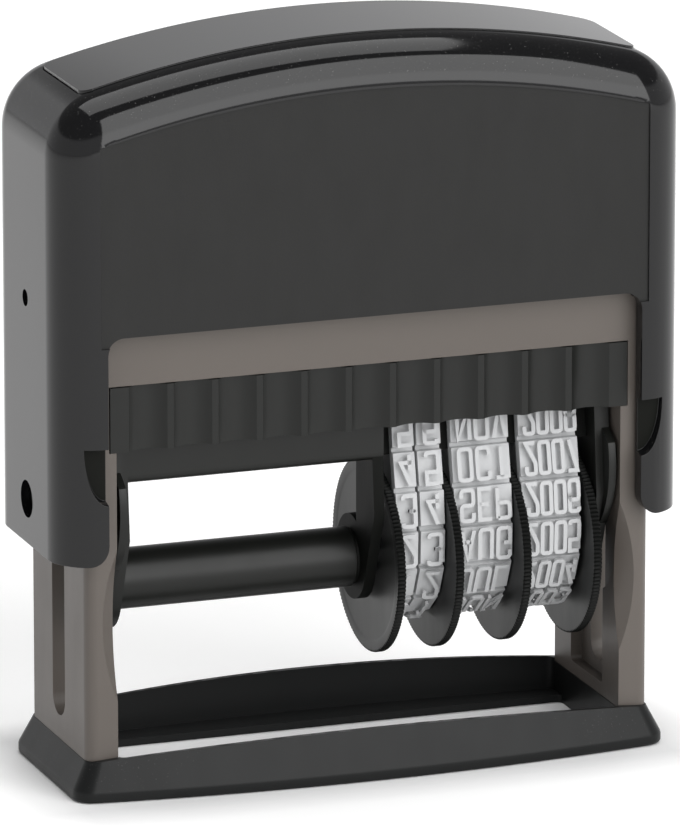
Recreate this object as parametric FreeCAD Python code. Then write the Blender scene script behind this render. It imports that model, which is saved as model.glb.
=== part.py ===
"""Self-inking text and date stamp, modelled with the cap up.

X runs to the right along the stamp, Y away from the front and Z up. The origin is the
centre of the base ring's lower face. The printing unit hangs from two pivot pins and
turns over, top to the rear, while the cap brings it down to the paper.
"""
import FreeCAD, Part
import math
import os

Vector = FreeCAD.Vector

# Stroke and the places that the mechanism shares, in millimetres
pivot_height = 30.75
print_radius = 10.3
axle_drop = 9.7
pad_gap = 0.1
axle_height = pivot_height - axle_drop
print_plane = pivot_height + print_radius
travel = pivot_height - print_radius

# General clearances
overrun = 1.0
near = 0.01
parallel_share = 0.99
slide_gap = 0.05
seat_gap = 0.02
running_gap = 0.06

# Cap
cap_width = 70.0
cap_depth = 23.6
cap_leg_drop = 4.85
cap_top = 79.8
cap_crown = 117.0
cap_wall = 1.8
cap_roof = 3.6
cap_shoulder = 7.0
cap_edge = 5.0
leg_width = 5.25
window_top_drop = 0.2
window_corner = 1.8
leg_corner = 2.2
panel_side = 4.5
panel_drop = 4.9
panel_recess = 0.25
vent_radius = 0.9
vent_rise = 2.2
scoop_width = 2.7
scoop_height = 6.1
scoop_depth = 1.2
scoop_rise = 1.0
scoop_belly_shares = (0.2, 0.6)
cap_boss_radius = 2.9
cap_boss_length = 3.0
cap_rib_thickness = 1.2
cap_rib_height = 2.4

# Index window and card in the roof of the cap
index_side = 4.0
index_rim = 4.8
index_corner = 1.5
index_depth = 1.6
index_card_thickness = 0.3
index_crown_proud = 0.2

# Frame
frame_side_gap = 1.6
post_thickness = 3.4
frame_face_gap = 0.4
frame_rise = 5.9
frame_shoulder = 5.2
frame_corner = 1.3
post_foot = 4.1
post_relief = 1.17
post_relief_low = 10.5
post_relief_drop = 10.6
channel_depth = 1.3
channel_half_width = 4.7
channel_foot = 1.2
channel_drop = 1.5
channel_bay_radius = 4.7
beam_rise = 3.65
beam_wall = 1.8
beam_floor = 1.6
beam_rib = 1.4
slot_bottom = 6.7
slot_headroom = 0.4
tenon_setback = 4.1
tenon_wall = 0.7
tenon_length = 2.2
lug_radius = 0.7
lug_offset = 2.95
lug_grip = 0.7

# Base ring
base_side = 4.95
base_front = 3.85
base_bow = 2.5
base_corner = 2.2
base_height = 5.45
base_arch = 1.43
base_skirt = 1.1
base_end_slope = 2.2
base_front_slope = 1.25
base_rim = 0.7
opening_inset = 0.05
opening_bow = 1.4
opening_corner = 0.8
ledge_setback = 2.05
ledge_height = 0.8

# Ink cartridge
tray_grip = 0.7
tray_skirt = 3.45
tray_gap = 0.1
tray_proud = 0.1
tray_set_in = 0.2
tray_side = 0.85
tray_roof = 1.2
tray_lip = 1.9
tray_rim = 0.8
tray_rim_height = 1.0
flute_count = 11
flute_margin = 1.7
flute_depth = 0.8
flute_land = 0.7
pad_side = 2.9
pad_rear = 2.1

# Rotor: yoke, pins and axle
arm_gap = 0.4
arm_thickness = 1.6
plate_thickness = 2.85
arm_top_setback = 2.6
arm_setback = 1.7
arm_widest_drop = 3.4
lobe_radius = 5.1
arm_corner = 1.0
cam_setback = 0.1
cam_thickness = 0.8
cam_rise = 4.5
cam_top_setback = 3.2
cam_bevel_share = 0.66
date_span = 25.0
middle_arm_thickness = 1.2
middle_arm_rear = 1.7
platform_thickness = 4.95
platform_corner = 1.0
pivot_radius = 1.95
pin_setback = 1.0
slot_gap = 0.12
axle_radius = 1.5
tube_radius = 3.25
groove_depth = 0.9
groove_half_width = 0.85
groove_steps = 12
cheek_tongue = 1.2
cheek_tongue_half_depth = 3.2

# Text plate
text_setback = 2.5
text_margin = 0.7
text_rubber = 1.45
text_border = 0.5
text_relief = 0.4

# Date bands and their wheels
band_thickness = 1.45
band_relief = 0.65
band_slack = 0.3
band_setback = 2.07
bridge_slack = 0.05
pad_groove = 0.5
drum_setback = 2.63
disc_radius = 10.5
disc_thickness = 0.9
knurl_depth = 0.22
knurl_count = 96
wheel_gap = 0.15
# Heading of each pad's outer face on the way down from the top one, in degrees
band_headings = (40, 82, 78, 83, 92, 115, 141)
# Each wheel, as distances from the end cheek: left side of its disc, band's left and right edges
wheel_rows = (
    ("day_tens", 23.35, 22.35, 19.92),
    ("day_units", 16.78, 19.64, 16.9),
    ("month", 9.13, 15.78, 9.25),
    ("year", 1.15, 8.13, 1.48),
)

# Return spring
spring_wire = 0.8
spring_radius = 4.2
spring_turns = 8
spring_steps = 16
spring_end_gap = 0.05

# Places across the stamp, from the cap inward
cap_half = cap_width / 2
window_half_width = cap_half - leg_width
panel_half_width = cap_half - panel_side
index_half_width = cap_half - index_side
frame_outer = cap_half - cap_wall - frame_side_gap
frame_inner = frame_outer - post_thickness
base_half_length = frame_inner + base_side
opening_half_length = frame_inner - opening_inset
tray_half_width = frame_inner + tray_grip
ledge_inner = tray_half_width + slide_gap * 2
pad_half_width = tray_half_width - pad_side
arm_outer = frame_inner - arm_gap
arm_inner = arm_outer - arm_thickness
middle_arm_left = arm_inner - date_span
middle_arm_right = middle_arm_left + middle_arm_thickness
text_right = middle_arm_left - text_margin
text_length = text_right + arm_inner - text_margin

# Places from front to back
index_half_depth = cap_depth / 2 - index_rim
frame_half_depth = cap_depth / 2 - cap_wall - frame_face_gap
base_half_depth = frame_half_depth + base_front
opening_half_depth = base_half_depth - base_front_slope - base_rim
ledge_half_depth = frame_half_depth - ledge_setback
tray_front = frame_half_depth + tray_proud
tray_rear = frame_half_depth - tray_set_in
pad_half_depth = tray_rear - pad_rear
tenon_half_depth = frame_half_depth - tenon_setback
arm_top_half_depth = frame_half_depth - arm_top_setback
arm_widest_half_depth = frame_half_depth - arm_setback
cam_radius = frame_half_depth - cam_setback
cam_top_half_depth = frame_half_depth - cam_top_setback
text_width = (arm_top_half_depth - text_setback) * 2
band_half_depth = frame_half_depth - band_setback
drum_radius = band_half_depth - drum_setback

# Heights
beam_bottom = print_plane + beam_rise
tray_top = beam_bottom - tray_gap
tray_bottom = print_plane - tray_skirt
spring_floor = beam_bottom + beam_floor
frame_top = beam_bottom + frame_rise
window_top = frame_top - window_top_drop
vent_height = window_top + vent_rise
cap_bottom = pivot_height - cap_leg_drop
roof_inner = cap_top - cap_roof
panel_top = cap_top - panel_drop
post_relief_high = tray_bottom - post_relief_drop
arm_top = print_plane - plate_thickness
platform_bottom = arm_top - platform_thickness
channel_bottom = slot_bottom - channel_foot
channel_top = tray_bottom - channel_drop
cam_top = pivot_height + cam_rise
slot_half_width = pivot_radius + slot_gap
lug_height = pivot_height - travel / 2


def box(low, high):
    """Solid block between two opposite corners."""
    size = Vector(*high) - Vector(*low)
    return Part.makeBox(size.x, size.y, size.z, Vector(*low))


def rod_x(radius, left, right, y, z):
    """Round bar along X."""
    return Part.makeCylinder(radius, right - left, Vector(left, y, z), Vector(1, 0, 0))


def loop(points):
    """Closed wire through the points."""
    return Part.makePolygon(list(points) + [points[0]])


def prism_x(outline, left, right):
    """Solid with the outline of (y, z) points, from left to right."""
    wire = loop([Vector(left, y, z) for y, z in outline])
    return Part.Face(wire).extrude(Vector(right - left, 0, 0))


def rounded(solid, radius, direction, low=None):
    """The solid with its straight edges along a direction filleted, above a height if given."""
    chosen = []
    for edge in solid.Edges:
        reach = edge.Vertexes[-1].Point - edge.Vertexes[0].Point
        along = reach.Length > near and abs(reach.normalize().dot(direction)) > parallel_share
        if along and (low is None or edge.BoundBox.ZMin > low):
            chosen.append(edge)
    return solid.makeFillet(radius, chosen)


def rounded_box(low, high, radius, direction):
    """Block with the four edges along one direction rounded."""
    return rounded(box(low, high), radius, direction)


def arch_height(crown, top, x):
    """Height of an arch of a given radius at a distance from the middle."""
    return top - crown + math.sqrt(crown ** 2 - x ** 2)


def arched_wire(half_width, low, top, crown, y):
    """Outline across the stamp, straight at the sides and below and arched at the top."""
    side_top = arch_height(crown, top, half_width)
    corners = [
        Vector(-half_width, y, side_top),
        Vector(-half_width, y, low),
        Vector(half_width, y, low),
        Vector(half_width, y, side_top),
    ]
    arch = Part.Arc(corners[3], Vector(0, y, top), corners[0]).toShape()
    return Part.Wire(Part.makePolygon(corners).Edges + [arch])


def arched_block(half_width, half_depth, low, top, crown):
    """Block under an arch, from front to back."""
    wire = arched_wire(half_width, low, top, crown, -half_depth)
    return Part.Face(wire).extrude(Vector(0, half_depth * 2, 0))


def arched_case(half_width, half_depth, low, top, crown, shoulder, edge):
    """Arched block with rounded shoulders and one fillet round the front and back faces."""
    block = arched_block(half_width, half_depth, low, top, crown)
    block = rounded(block, shoulder, Vector(0, 1, 0), low + near)
    rims = []
    for rim in block.Edges:
        limits = rim.BoundBox
        if limits.YLength < near and limits.ZMax > low + near:
            rims.append(rim)
    return block.makeFillet(edge, rims)


def index_slab(lift, depth, inset):
    """Slab that follows the arch of the cap's roof: the index recess, or what fills it."""
    half_width = index_half_width - inset
    half_depth = index_half_depth - inset
    low = arch_height(cap_crown, cap_top, half_width) - index_depth * 2
    slab = arched_block(half_width, half_depth, low, cap_top + lift, cap_crown + lift)
    slab = rounded(slab, index_corner - inset, Vector(0, 0, 1))
    rise = lift - depth
    low -= overrun
    half_width += overrun
    half_depth += overrun
    return slab.cut(arched_block(half_width, half_depth, low, cap_top + rise, cap_crown + rise))


def window_cutter():
    """What is cut from the cap's front and back for the window and the gap between its legs."""
    low = (-window_half_width, -cap_depth, cap_bottom - window_corner * 2)
    high = (window_half_width, cap_depth, window_top)
    return rounded_box(low, high, window_corner, Vector(0, 1, 0))


def leg_corner_cutter(end):
    """What rounds the lower inner corner of the legs, on the left (-1) or the right (1)."""
    edge = end * window_half_width
    outer = edge + end * leg_corner
    left, right = sorted((edge - end * overrun, outer))
    corner = box((left, -cap_depth, cap_bottom - overrun), (right, cap_depth, cap_bottom + leg_corner))
    start = Vector(outer, -cap_depth, cap_bottom + leg_corner)
    round_bar = Part.makeCylinder(leg_corner, cap_depth * 2, start, Vector(0, 1, 0))
    return corner.cut(round_bar)


def panel_cutter(side):
    """Shallow recess of the matt panel, on the front (-1) or the back (1)."""
    face = side * cap_depth / 2
    depth = panel_recess + overrun
    block = arched_block(panel_half_width, depth / 2, window_top - overrun, panel_top, cap_crown)
    block.translate(Vector(0, face - side * (panel_recess - depth / 2), 0))
    return block


def scoop_cutter(side, end):
    """Finger scoop beside the window, at the level of the cartridge's lower edge."""
    edge = end * window_half_width
    y = side * (cap_depth / 2 - scoop_depth)
    top = tray_bottom + scoop_rise
    outer = Vector(edge + end * scoop_width, y, top)
    out_share, down_share = scoop_belly_shares
    middle = Vector(edge + end * scoop_width * out_share, y, top - scoop_height * down_share)
    tip = Vector(edge, y, top - scoop_height)
    inside = Vector(edge - end * overrun, y, top - scoop_height)
    inside_top = Vector(edge - end * overrun, y, top)
    curve = Part.Arc(outer, middle, tip).toShape()
    wire = Part.Wire([curve] + Part.makePolygon([tip, inside, inside_top, outer]).Edges)
    return Part.Face(wire).extrude(Vector(0, side * (scoop_depth + overrun), 0))


def make_cap_shell():
    """Outer cap, with its holes for the pivot pins, its vents and the recess for the index."""
    outer = arched_case(
        cap_half, cap_depth / 2, cap_bottom, cap_top, cap_crown, cap_shoulder, cap_edge
    )
    inner = arched_case(
        cap_half - cap_wall,
        cap_depth / 2 - cap_wall,
        cap_bottom - overrun,
        roof_inner,
        cap_crown - cap_roof,
        cap_shoulder - cap_wall,
        cap_edge - cap_wall,
    )
    shell = outer.cut(inner)
    boss_low = roof_inner - cap_boss_length
    boss_top = roof_inner + cap_roof / 4
    boss = Part.makeCylinder(cap_boss_radius, boss_top - boss_low, Vector(0, 0, boss_low))
    ribs = []
    for side in (-1, 1):
        middle = side * cap_width / 4
        half_depth = cap_depth / 2 - cap_wall / 2
        rib_low = (middle - cap_rib_thickness / 2, -half_depth, roof_inner - cap_rib_height * 2)
        rib_high = (middle + cap_rib_thickness / 2, half_depth, roof_inner)
        rib = box(rib_low, rib_high)
        ribs.append(rib.common(arched_case(
            cap_half - cap_wall / 2,
            cap_depth / 2 - cap_wall / 2,
            cap_bottom,
            cap_top - cap_roof / 2,
            cap_crown - cap_roof / 2,
            cap_shoulder - cap_wall / 2,
            cap_edge - cap_wall / 2,
        )))
    shell = shell.fuse([boss] + ribs)
    cutters = [window_cutter(), index_slab(overrun, index_depth + overrun, 0)]
    for side in (-1, 1):
        cutters.append(panel_cutter(side))
        cutters.append(leg_corner_cutter(side))
        for end in (-1, 1):
            cutters.append(scoop_cutter(side, end))
    hole_radius = pivot_radius + running_gap
    reach = cap_half + overrun
    cutters.append(rod_x(hole_radius, -reach, reach, 0, pivot_height))
    cutters.append(rod_x(vent_radius, -reach, reach, 0, vent_height))
    return shell.cut(cutters).removeSplitter()


def make_index_window():
    """Clear insert on top of the card."""
    return index_slab(index_crown_proud, index_depth + index_crown_proud - index_card_thickness, slide_gap)


def make_index_card():
    """Paper slip at the bottom of the recess."""
    lift = index_card_thickness - index_depth
    return index_slab(lift, index_card_thickness, slide_gap)


def post_relief_cutter(end, side):
    """Long hollow along the inner edge of a post, at its front (-1) or its back (1)."""
    middle = (post_relief_low + post_relief_high) / 2
    half = (post_relief_high - post_relief_low) / 2
    radius = (half ** 2 + post_relief ** 2) / (post_relief * 2)
    edge = Vector(end * frame_inner, side * frame_half_depth, middle)
    outward = Vector(-end, side, 0).normalize()
    along = Vector(end, side, 0).normalize()
    start = edge + outward * (radius - post_relief) - along * post_thickness
    return Part.makeCylinder(radius, post_thickness * 2, start, along)


def post_channel(end):
    """Recess in a post's inner face, with a round bay in front at the level of the lug."""
    left, right = sorted((end * (frame_inner - overrun), end * (frame_inner + channel_depth)))
    low = (left, -channel_half_width, channel_bottom)
    high = (right, channel_half_width, channel_top)
    bay = rod_x(channel_bay_radius, left, right, -lug_offset, lug_height)
    return box(low, high).fuse(bay)


def make_frame():
    """Inner frame: two slotted posts, the beam above the cartridge and the lugs that turn the rotor."""
    low = (-frame_outer, -frame_half_depth, post_foot)
    high = (frame_outer, frame_half_depth, frame_top)
    block = rounded(box(low, high), frame_corner, Vector(0, 0, 1))
    crown = rounded_box(
        (-frame_outer, -frame_half_depth - overrun, post_foot - frame_shoulder * 2),
        (frame_outer, frame_half_depth + overrun, frame_top),
        frame_shoulder,
        Vector(0, 1, 0),
    )
    block = block.common(crown)
    depth = frame_half_depth + overrun
    cutters = [
        box((-frame_inner, -depth, post_foot - overrun), (frame_inner, depth, tray_bottom)),
        box((-ledge_inner, -depth, tray_bottom - slide_gap), (ledge_inner, depth, beam_bottom)),
    ]
    slot_top = pivot_height + slot_half_width + slot_headroom
    for end in (-1, 1):
        left, right = sorted((end * (frame_inner - overrun), end * (frame_outer + overrun)))
        slot = rounded_box(
            (left, -slot_half_width, slot_bottom),
            (right, slot_half_width, slot_top),
            slot_half_width - near,
            Vector(1, 0, 0),
        )
        cutters.append(slot)
        cutters.append(post_channel(end))
        for side in (-1, 1):
            cutters.append(post_relief_cutter(end, side))
        cutters.append(beam_pocket(end))
    well_radius = spring_radius + spring_wire / 2 + cap_wall / 2
    cutters.append(Part.makeCylinder(well_radius, frame_top, Vector(0, 0, spring_floor)))
    body = block.cut(cutters)
    boss = Part.makeCylinder(cap_boss_radius, cap_boss_length, Vector(0, 0, spring_floor))
    extras = [boss]
    for end in (-1, 1):
        tip = end * (arm_outer - lug_grip)
        root = end * (frame_inner + (frame_outer - frame_inner) / 2)
        left, right = sorted((tip, root))
        extras.append(rod_x(lug_radius, left, right, lug_offset, lug_height))
        extras.append(post_tenon(end, 0))
    return body.fuse(extras).removeSplitter()


def beam_pocket(end):
    """Hollow in the top of the beam, left (-1) or right (1) of the spring's well."""
    near_side = spring_radius + spring_wire / 2 + cap_wall / 2 + beam_rib
    far_side = frame_outer - frame_shoulder - beam_wall
    left, right = sorted((end * near_side, end * far_side))
    half_depth = frame_half_depth - beam_wall
    return rounded_box(
        (left, -half_depth, spring_floor),
        (right, half_depth, frame_top + overrun),
        frame_corner - near,
        Vector(0, 0, 1),
    )


def post_tenon(end, gap):
    """Tongue under a post, or with a gap the mortise that takes it."""
    inner = end * (frame_inner + tenon_wall - gap)
    outer = end * (frame_outer - tenon_wall + gap)
    left, right = sorted((inner, outer))
    half_depth = tenon_half_depth + gap
    low = post_foot - tenon_length - gap
    return box((left, -half_depth, low), (right, half_depth, post_foot + slide_gap * 2))


def bowed_face(half_length, half_depth, bow, z):
    """Face in plan whose long sides bow outward."""
    end_depth = half_depth - bow
    corners = [
        Vector(-half_length, -end_depth, z),
        Vector(half_length, -end_depth, z),
        Vector(half_length, end_depth, z),
        Vector(-half_length, end_depth, z),
    ]
    edges = [
        Part.Arc(corners[0], Vector(0, -half_depth, z), corners[1]).toShape(),
        Part.makePolygon(corners[1:3]).Edges[0],
        Part.Arc(corners[2], Vector(0, half_depth, z), corners[3]).toShape(),
        Part.makePolygon([corners[3], corners[0]]).Edges[0],
    ]
    return Part.Face(Part.Wire(edges))


def bowed_block(half_length, half_depth, bow, corner, low, high):
    """Bowed block with rounded upright corners."""
    block = bowed_face(half_length, half_depth, bow, low).extrude(Vector(0, 0, high - low))
    return rounded(block, corner, Vector(0, 0, 1))


def bowed_wire(block, z):
    """The outline of a bowed block's flat face at a height."""
    for face in block.Faces:
        if face.BoundBox.ZLength < near and abs(face.BoundBox.ZMin - z) < near:
            return face.OuterWire
    raise ValueError("no flat face at that height")


def make_base_ring():
    """Foot ring with a low skirt, a sloped flange, an arched top and an opening with a ledge."""
    skirt = bowed_block(base_half_length, base_half_depth, base_bow, base_corner, 0, base_skirt)
    low_slope = bowed_block(
        base_half_length, base_half_depth, base_bow, base_corner, base_skirt, base_height
    )
    high_slope = bowed_block(
        base_half_length - base_end_slope,
        base_half_depth - base_front_slope,
        base_bow,
        base_corner - base_front_slope / 2,
        base_skirt,
        base_height,
    )
    outlines = [bowed_wire(low_slope, base_skirt), bowed_wire(high_slope, base_height)]
    flange = Part.makeLoft(outlines, True, True)
    ring = skirt.fuse(flange)
    arch_radius = (base_half_length ** 2 + base_arch ** 2) / (base_arch * 2)
    reach = base_half_length + overrun
    crown = arched_block(reach, base_half_depth + overrun, -overrun, base_height, arch_radius)
    ring = ring.common(crown)
    cutters = [
        bowed_block(
            opening_half_length,
            opening_half_depth,
            opening_bow,
            opening_corner,
            ledge_height,
            base_height + overrun,
        ),
        rounded_box(
            (-opening_half_length, -ledge_half_depth, -overrun),
            (opening_half_length, ledge_half_depth, ledge_height + overrun),
            opening_corner,
            Vector(0, 0, 1),
        ),
    ]
    for end in (-1, 1):
        left, right = sorted((end * opening_half_length, end * (frame_outer + slide_gap)))
        half_depth = frame_half_depth + slide_gap
        cutters.append(box((left, -half_depth, post_foot), (right, half_depth, base_height + overrun)))
        cutters.append(post_tenon(end, slide_gap))
    return ring.cut(cutters).removeSplitter()


def spring_section(angle, low, climb):
    """Round section of the wire at an angle along the coil, which climbs by so much a radian."""
    outward = Vector(math.cos(angle), math.sin(angle), 0)
    heading = Vector(-outward.y * spring_radius, outward.x * spring_radius, climb).normalize()
    turned = FreeCAD.Rotation(outward, heading.cross(outward), heading, "ZXY")
    place = outward * spring_radius + Vector(0, 0, low + climb * angle)
    section = Part.makeCircle(spring_wire / 2)
    section.Placement = FreeCAD.Placement(place, turned)
    return Part.Wire(section)


def make_return_spring():
    """Coil spring between the floor of the beam's well and the roof of the cap."""
    low = spring_floor + spring_wire / 2 + spring_end_gap
    seat = arch_height(cap_crown - cap_roof, roof_inner, spring_radius + spring_wire / 2)
    high = seat - spring_wire / 2 - spring_end_gap
    step = math.pi * 2 / spring_steps
    count = spring_turns * spring_steps
    climb = (high - low) / (step * count)
    sections = [spring_section(step * index, low, climb) for index in range(count + 1)]
    faces = [Part.Face(sections[0]), Part.Face(sections[-1])]
    for before, after in zip(sections, sections[1:]):
        faces.append(Part.makeRuledSurface(before.Edges[0], after.Edges[0]))
    shell = Part.Shell(faces)
    shell.sewShape()
    return Part.Solid(shell)


def flute_cutter(middle, half_width):
    """Upright concave flute in the front of the cartridge."""
    radius = (half_width ** 2 + flute_depth ** 2) / (flute_depth * 2)
    centre = -tray_front + flute_depth - radius
    base = Vector(middle, centre, tray_bottom - overrun)
    return Part.makeCylinder(radius, tray_top - tray_bottom + overrun * 2, base)


def make_cartridge_tray():
    """Drawer that holds the ink pad: roof, two side walls, a rim round the pad and the fluted front."""
    width = tray_half_width
    parts = [
        box((-width, -tray_front + tray_lip / 2, tray_top - tray_roof), (width, tray_rear, tray_top)),
        box((-width, -tray_front, tray_bottom), (width, -tray_front + tray_lip, tray_top)),
    ]
    for end in (-1, 1):
        left, right = sorted((end * width, end * (width - tray_side)))
        parts.append(box((left, -tray_front + tray_lip / 2, tray_bottom), (right, tray_rear, tray_top)))
    rim_outer = (pad_half_width + tray_rim, pad_half_depth + tray_rim)
    low = tray_top - tray_roof - tray_rim_height
    high = tray_top - tray_roof / 2
    rim = box((-rim_outer[0], -rim_outer[1], low), (rim_outer[0], rim_outer[1], high))
    hole = box(
        (-pad_half_width - slide_gap, -pad_half_depth - slide_gap, low - overrun),
        (pad_half_width + slide_gap, pad_half_depth + slide_gap, tray_top - tray_roof),
    )
    body = parts[0].fuse(parts[1:] + [rim]).cut(hole)
    span = (width - flute_margin) * 2
    pitch = span / flute_count
    half_width = (pitch - flute_land) / 2
    cutters = []
    for index in range(flute_count):
        middle = -span / 2 + pitch * (index + 1 / 2)
        cutters.append(flute_cutter(middle, half_width))
    return body.cut(cutters).removeSplitter()


def make_ink_pad():
    """Inked felt block under the roof of the tray."""
    low = (-pad_half_width, -pad_half_depth, print_plane + pad_gap)
    high = (pad_half_width, pad_half_depth, tray_top - tray_roof)
    return box(low, high)


def tangent_point(point, centre, radius):
    """Where the line from a point touches a circle, on the point's own outer side, as (y, z)."""
    away = (point[0] - centre[0], point[1] - centre[1])
    distance = math.hypot(*away)
    bearing = math.atan2(away[1], away[0]) - math.acos(radius / distance)
    return centre[0] + radius * math.cos(bearing), centre[1] + radius * math.sin(bearing)


def arm_plate(left, right, shrink):
    """Arm seen from the side: square at the top, widest under the pivot, round at the axle."""
    radius = lobe_radius - shrink
    top_half = arm_top_half_depth - shrink
    widest = (arm_widest_half_depth - shrink, pivot_height - arm_widest_drop)
    touch = tangent_point(widest, (0, axle_height), radius)
    right_side = [(top_half, arm_top), widest, touch]
    left_side = [(-y, z) for y, z in reversed(right_side)]
    points = [Vector(left, y, z) for y, z in left_side + right_side]
    bottom = Vector(left, 0, axle_height - radius)
    lobe = Part.Arc(points[-1], bottom, points[0]).toShape()
    wire = Part.Wire(Part.makePolygon(points).Edges + [lobe])
    plate = Part.Face(wire).extrude(Vector(right - left, 0, 0))
    return rounded(plate, arm_corner, Vector(1, 0, 0), arm_top - near)


def arm_cam(left, right):
    """Round flange about the pivot on an arm's outer side, bevelled at the top."""
    reach = cam_radius + overrun
    shoulder = cam_top - (reach - cam_top_half_depth) * cam_bevel_share
    low = pivot_height - reach
    outline = [(reach, low), (reach, shoulder), (cam_top_half_depth, cam_top)]
    outline += [(-y, z) for y, z in reversed(outline)]
    return rod_x(cam_radius, left, right, 0, pivot_height).common(prism_x(outline, left, right))


def lug_place(angle):
    """Where the frame's lug lies in the turned arm, from the pivot, as (y, z)."""
    drop = lug_height - pivot_height + travel * angle / math.pi
    y = lug_offset * math.cos(angle) - drop * math.sin(angle)
    z = lug_offset * math.sin(angle) + drop * math.cos(angle)
    return y, z


def groove_cutter(end):
    """Arch-shaped groove in an arm's outer face, which the lug follows through half a turn."""
    sides = {-1: [], 1: []}
    step = math.pi / groove_steps
    turn_step = step / groove_steps
    for index in range(groove_steps + 1):
        angle = step * index
        y, z = lug_place(angle)
        ahead = lug_place(angle + turn_step)
        behind = lug_place(angle - turn_step)
        run = Vector(0, ahead[0] - behind[0], ahead[1] - behind[1]).normalize()
        normal = Vector(0, -run.z, run.y)
        for side in sides:
            place = Vector(0, y, z + pivot_height) + normal * (side * groove_half_width)
            sides[side].append(place)
    curves = []
    for side in sides:
        curve = Part.BSplineCurve()
        curve.interpolate(sides[side])
        curves.append(curve.toShape())
    ends = []
    for index, outward in ((0, -1), (groove_steps, 1)):
        first = sides[-1][index]
        last = sides[1][index]
        across = (last - first).normalize()
        run = Vector(0, across.z, -across.y)
        tip = (first + last) * (1 / 2) + run * (outward * groove_half_width)
        ends.append(Part.Arc(first, tip, last).toShape())
    wire = Part.Wire(Part.__sortEdges__(curves + ends))
    cutter = Part.Face(wire).extrude(Vector(end * (groove_depth + overrun), 0, 0))
    cutter.translate(Vector(end * (arm_outer - groove_depth), 0, 0))
    return cutter


def arm_bores(left, right):
    """Holes for the pivot pin and the axle through an arm."""
    reach = overrun
    return [
        rod_x(pivot_radius + seat_gap, left - reach, right + reach, 0, pivot_height),
        rod_x(axle_radius + seat_gap, left - reach, right + reach, 0, axle_height),
    ]


def make_rotor_carrier():
    """Yoke in one piece: left arm, platform under the text plate and middle arm."""
    left_arm = arm_plate(-arm_outer, -arm_inner, 0).fuse(arm_cam(-arm_outer, cam_thickness - arm_outer))
    left_arm = left_arm.cut(arm_bores(-arm_outer, -arm_inner) + [groove_cutter(-1)])
    shrink = platform_corner / 2
    front_half = box(
        (middle_arm_left, -frame_half_depth, axle_height - lobe_radius),
        (middle_arm_right, -middle_arm_rear, arm_top - shrink),
    )
    middle_arm = arm_plate(middle_arm_left, middle_arm_right, shrink).common(front_half)
    lobe = rod_x(lobe_radius - shrink, middle_arm_left, middle_arm_right, 0, axle_height)
    middle_arm = middle_arm.fuse(lobe).cut(arm_bores(middle_arm_left, middle_arm_right)[1])
    platform = rounded_box(
        (-arm_inner - arm_thickness / 2, -arm_top_half_depth, platform_bottom),
        (middle_arm_right, arm_top_half_depth, arm_top),
        platform_corner,
        Vector(1, 0, 0),
    )
    tongue = bridge_tongue(-1, 0)
    return left_arm.fuse([middle_arm, platform]).cut(tongue).removeSplitter()


def bridge_tongue(end, gap):
    """Tongue at an end of the bridge that sits in the arm beside it."""
    face = middle_arm_right if end < 0 else arm_inner
    tip = face + end * (cheek_tongue / 2 + gap)
    left, right = sorted((face - end * overrun, tip))
    low = platform_bottom + cheek_tongue
    high = arm_top - cheek_tongue
    half_depth = cheek_tongue_half_depth + gap
    return box((left, -half_depth, low - gap), (right, half_depth, high + gap))


def make_end_cheek():
    """Right arm, put on last over the axle and the bridge."""
    cheek = arm_plate(arm_inner, arm_outer, 0).fuse(arm_cam(arm_outer - cam_thickness, arm_outer))
    cutters = arm_bores(arm_inner, arm_outer) + [groove_cutter(1), bridge_tongue(1, 0)]
    return cheek.cut(cutters).removeSplitter()


def make_pivot_pin(end):
    """Pin through the arm and the post's slot into the cap."""
    left, right = sorted((end * arm_inner, end * (cap_half - pin_setback)))
    return rod_x(pivot_radius, left, right, 0, pivot_height)


def make_date_axle():
    """Steel pin from arm to arm."""
    return rod_x(axle_radius, -arm_outer, arm_outer, 0, axle_height)


def make_spacer_tube():
    """Tube that holds the left arm and the middle arm apart."""
    left = -arm_inner
    right = middle_arm_left
    tube = rod_x(tube_radius, left, right, 0, axle_height)
    return tube.cut(rod_x(axle_radius + seat_gap, left - overrun, right + overrun, 0, axle_height))


def make_text_plate_base():
    """Foam layer between the platform and the rubber plate."""
    low = (text_right - text_length, -text_width / 2, arm_top)
    high = (text_right, text_width / 2, print_plane - text_rubber)
    return box(low, high)


def make_text_plate():
    """Rubber plate with a plain raised border in place of the text."""
    left = text_right - text_length
    half = text_width / 2
    plate = box((left, -half, print_plane - text_rubber), (text_right, half, print_plane))
    inner_low = (left + text_border, -half + text_border, print_plane - text_relief)
    inner_high = (text_right - text_border, half - text_border, print_plane + overrun)
    return plate.cut(box(inner_low, inner_high))


def band_pitch():
    """Length of one pad, so that the band spans from the print plane to under the drum."""
    drop = sum(math.sin(math.radians(heading)) for heading in band_headings)
    bottom = axle_height - drum_radius - band_slack - band_thickness
    return (print_plane - bottom) / drop


def band_corners():
    """Corners between the pads' outer faces, clockwise from the top one, as (y, z)."""
    pitch = band_pitch()
    y = pitch / 2
    z = print_plane
    half = [(y, z)]
    for heading in band_headings:
        y += pitch * math.cos(math.radians(heading))
        z -= pitch * math.sin(math.radians(heading))
        half.append((y, z))
    share = band_half_depth / max(half)[0]
    half = [(y * share, z) for y, z in half]
    return half + [(-y, z) for y, z in reversed(half)]


def inset_loop(corners, depth):
    """The closed outline moved inward by a depth, clockwise corners as (y, z)."""
    moved = []
    count = len(corners)
    for index in range(count):
        before = corners[index - 1]
        here = corners[index]
        after = corners[(index + 1) % count]
        first = Vector(here[0] - before[0], here[1] - before[1], 0).normalize()
        second = Vector(after[0] - here[0], after[1] - here[1], 0).normalize()
        inward = Vector(first.y + second.y, -first.x - second.x, 0).normalize()
        reach = depth / math.sqrt((1 + first.dot(second)) / 2)
        moved.append((here[0] + inward.x * reach, here[1] + inward.y * reach))
    return moved


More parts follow.
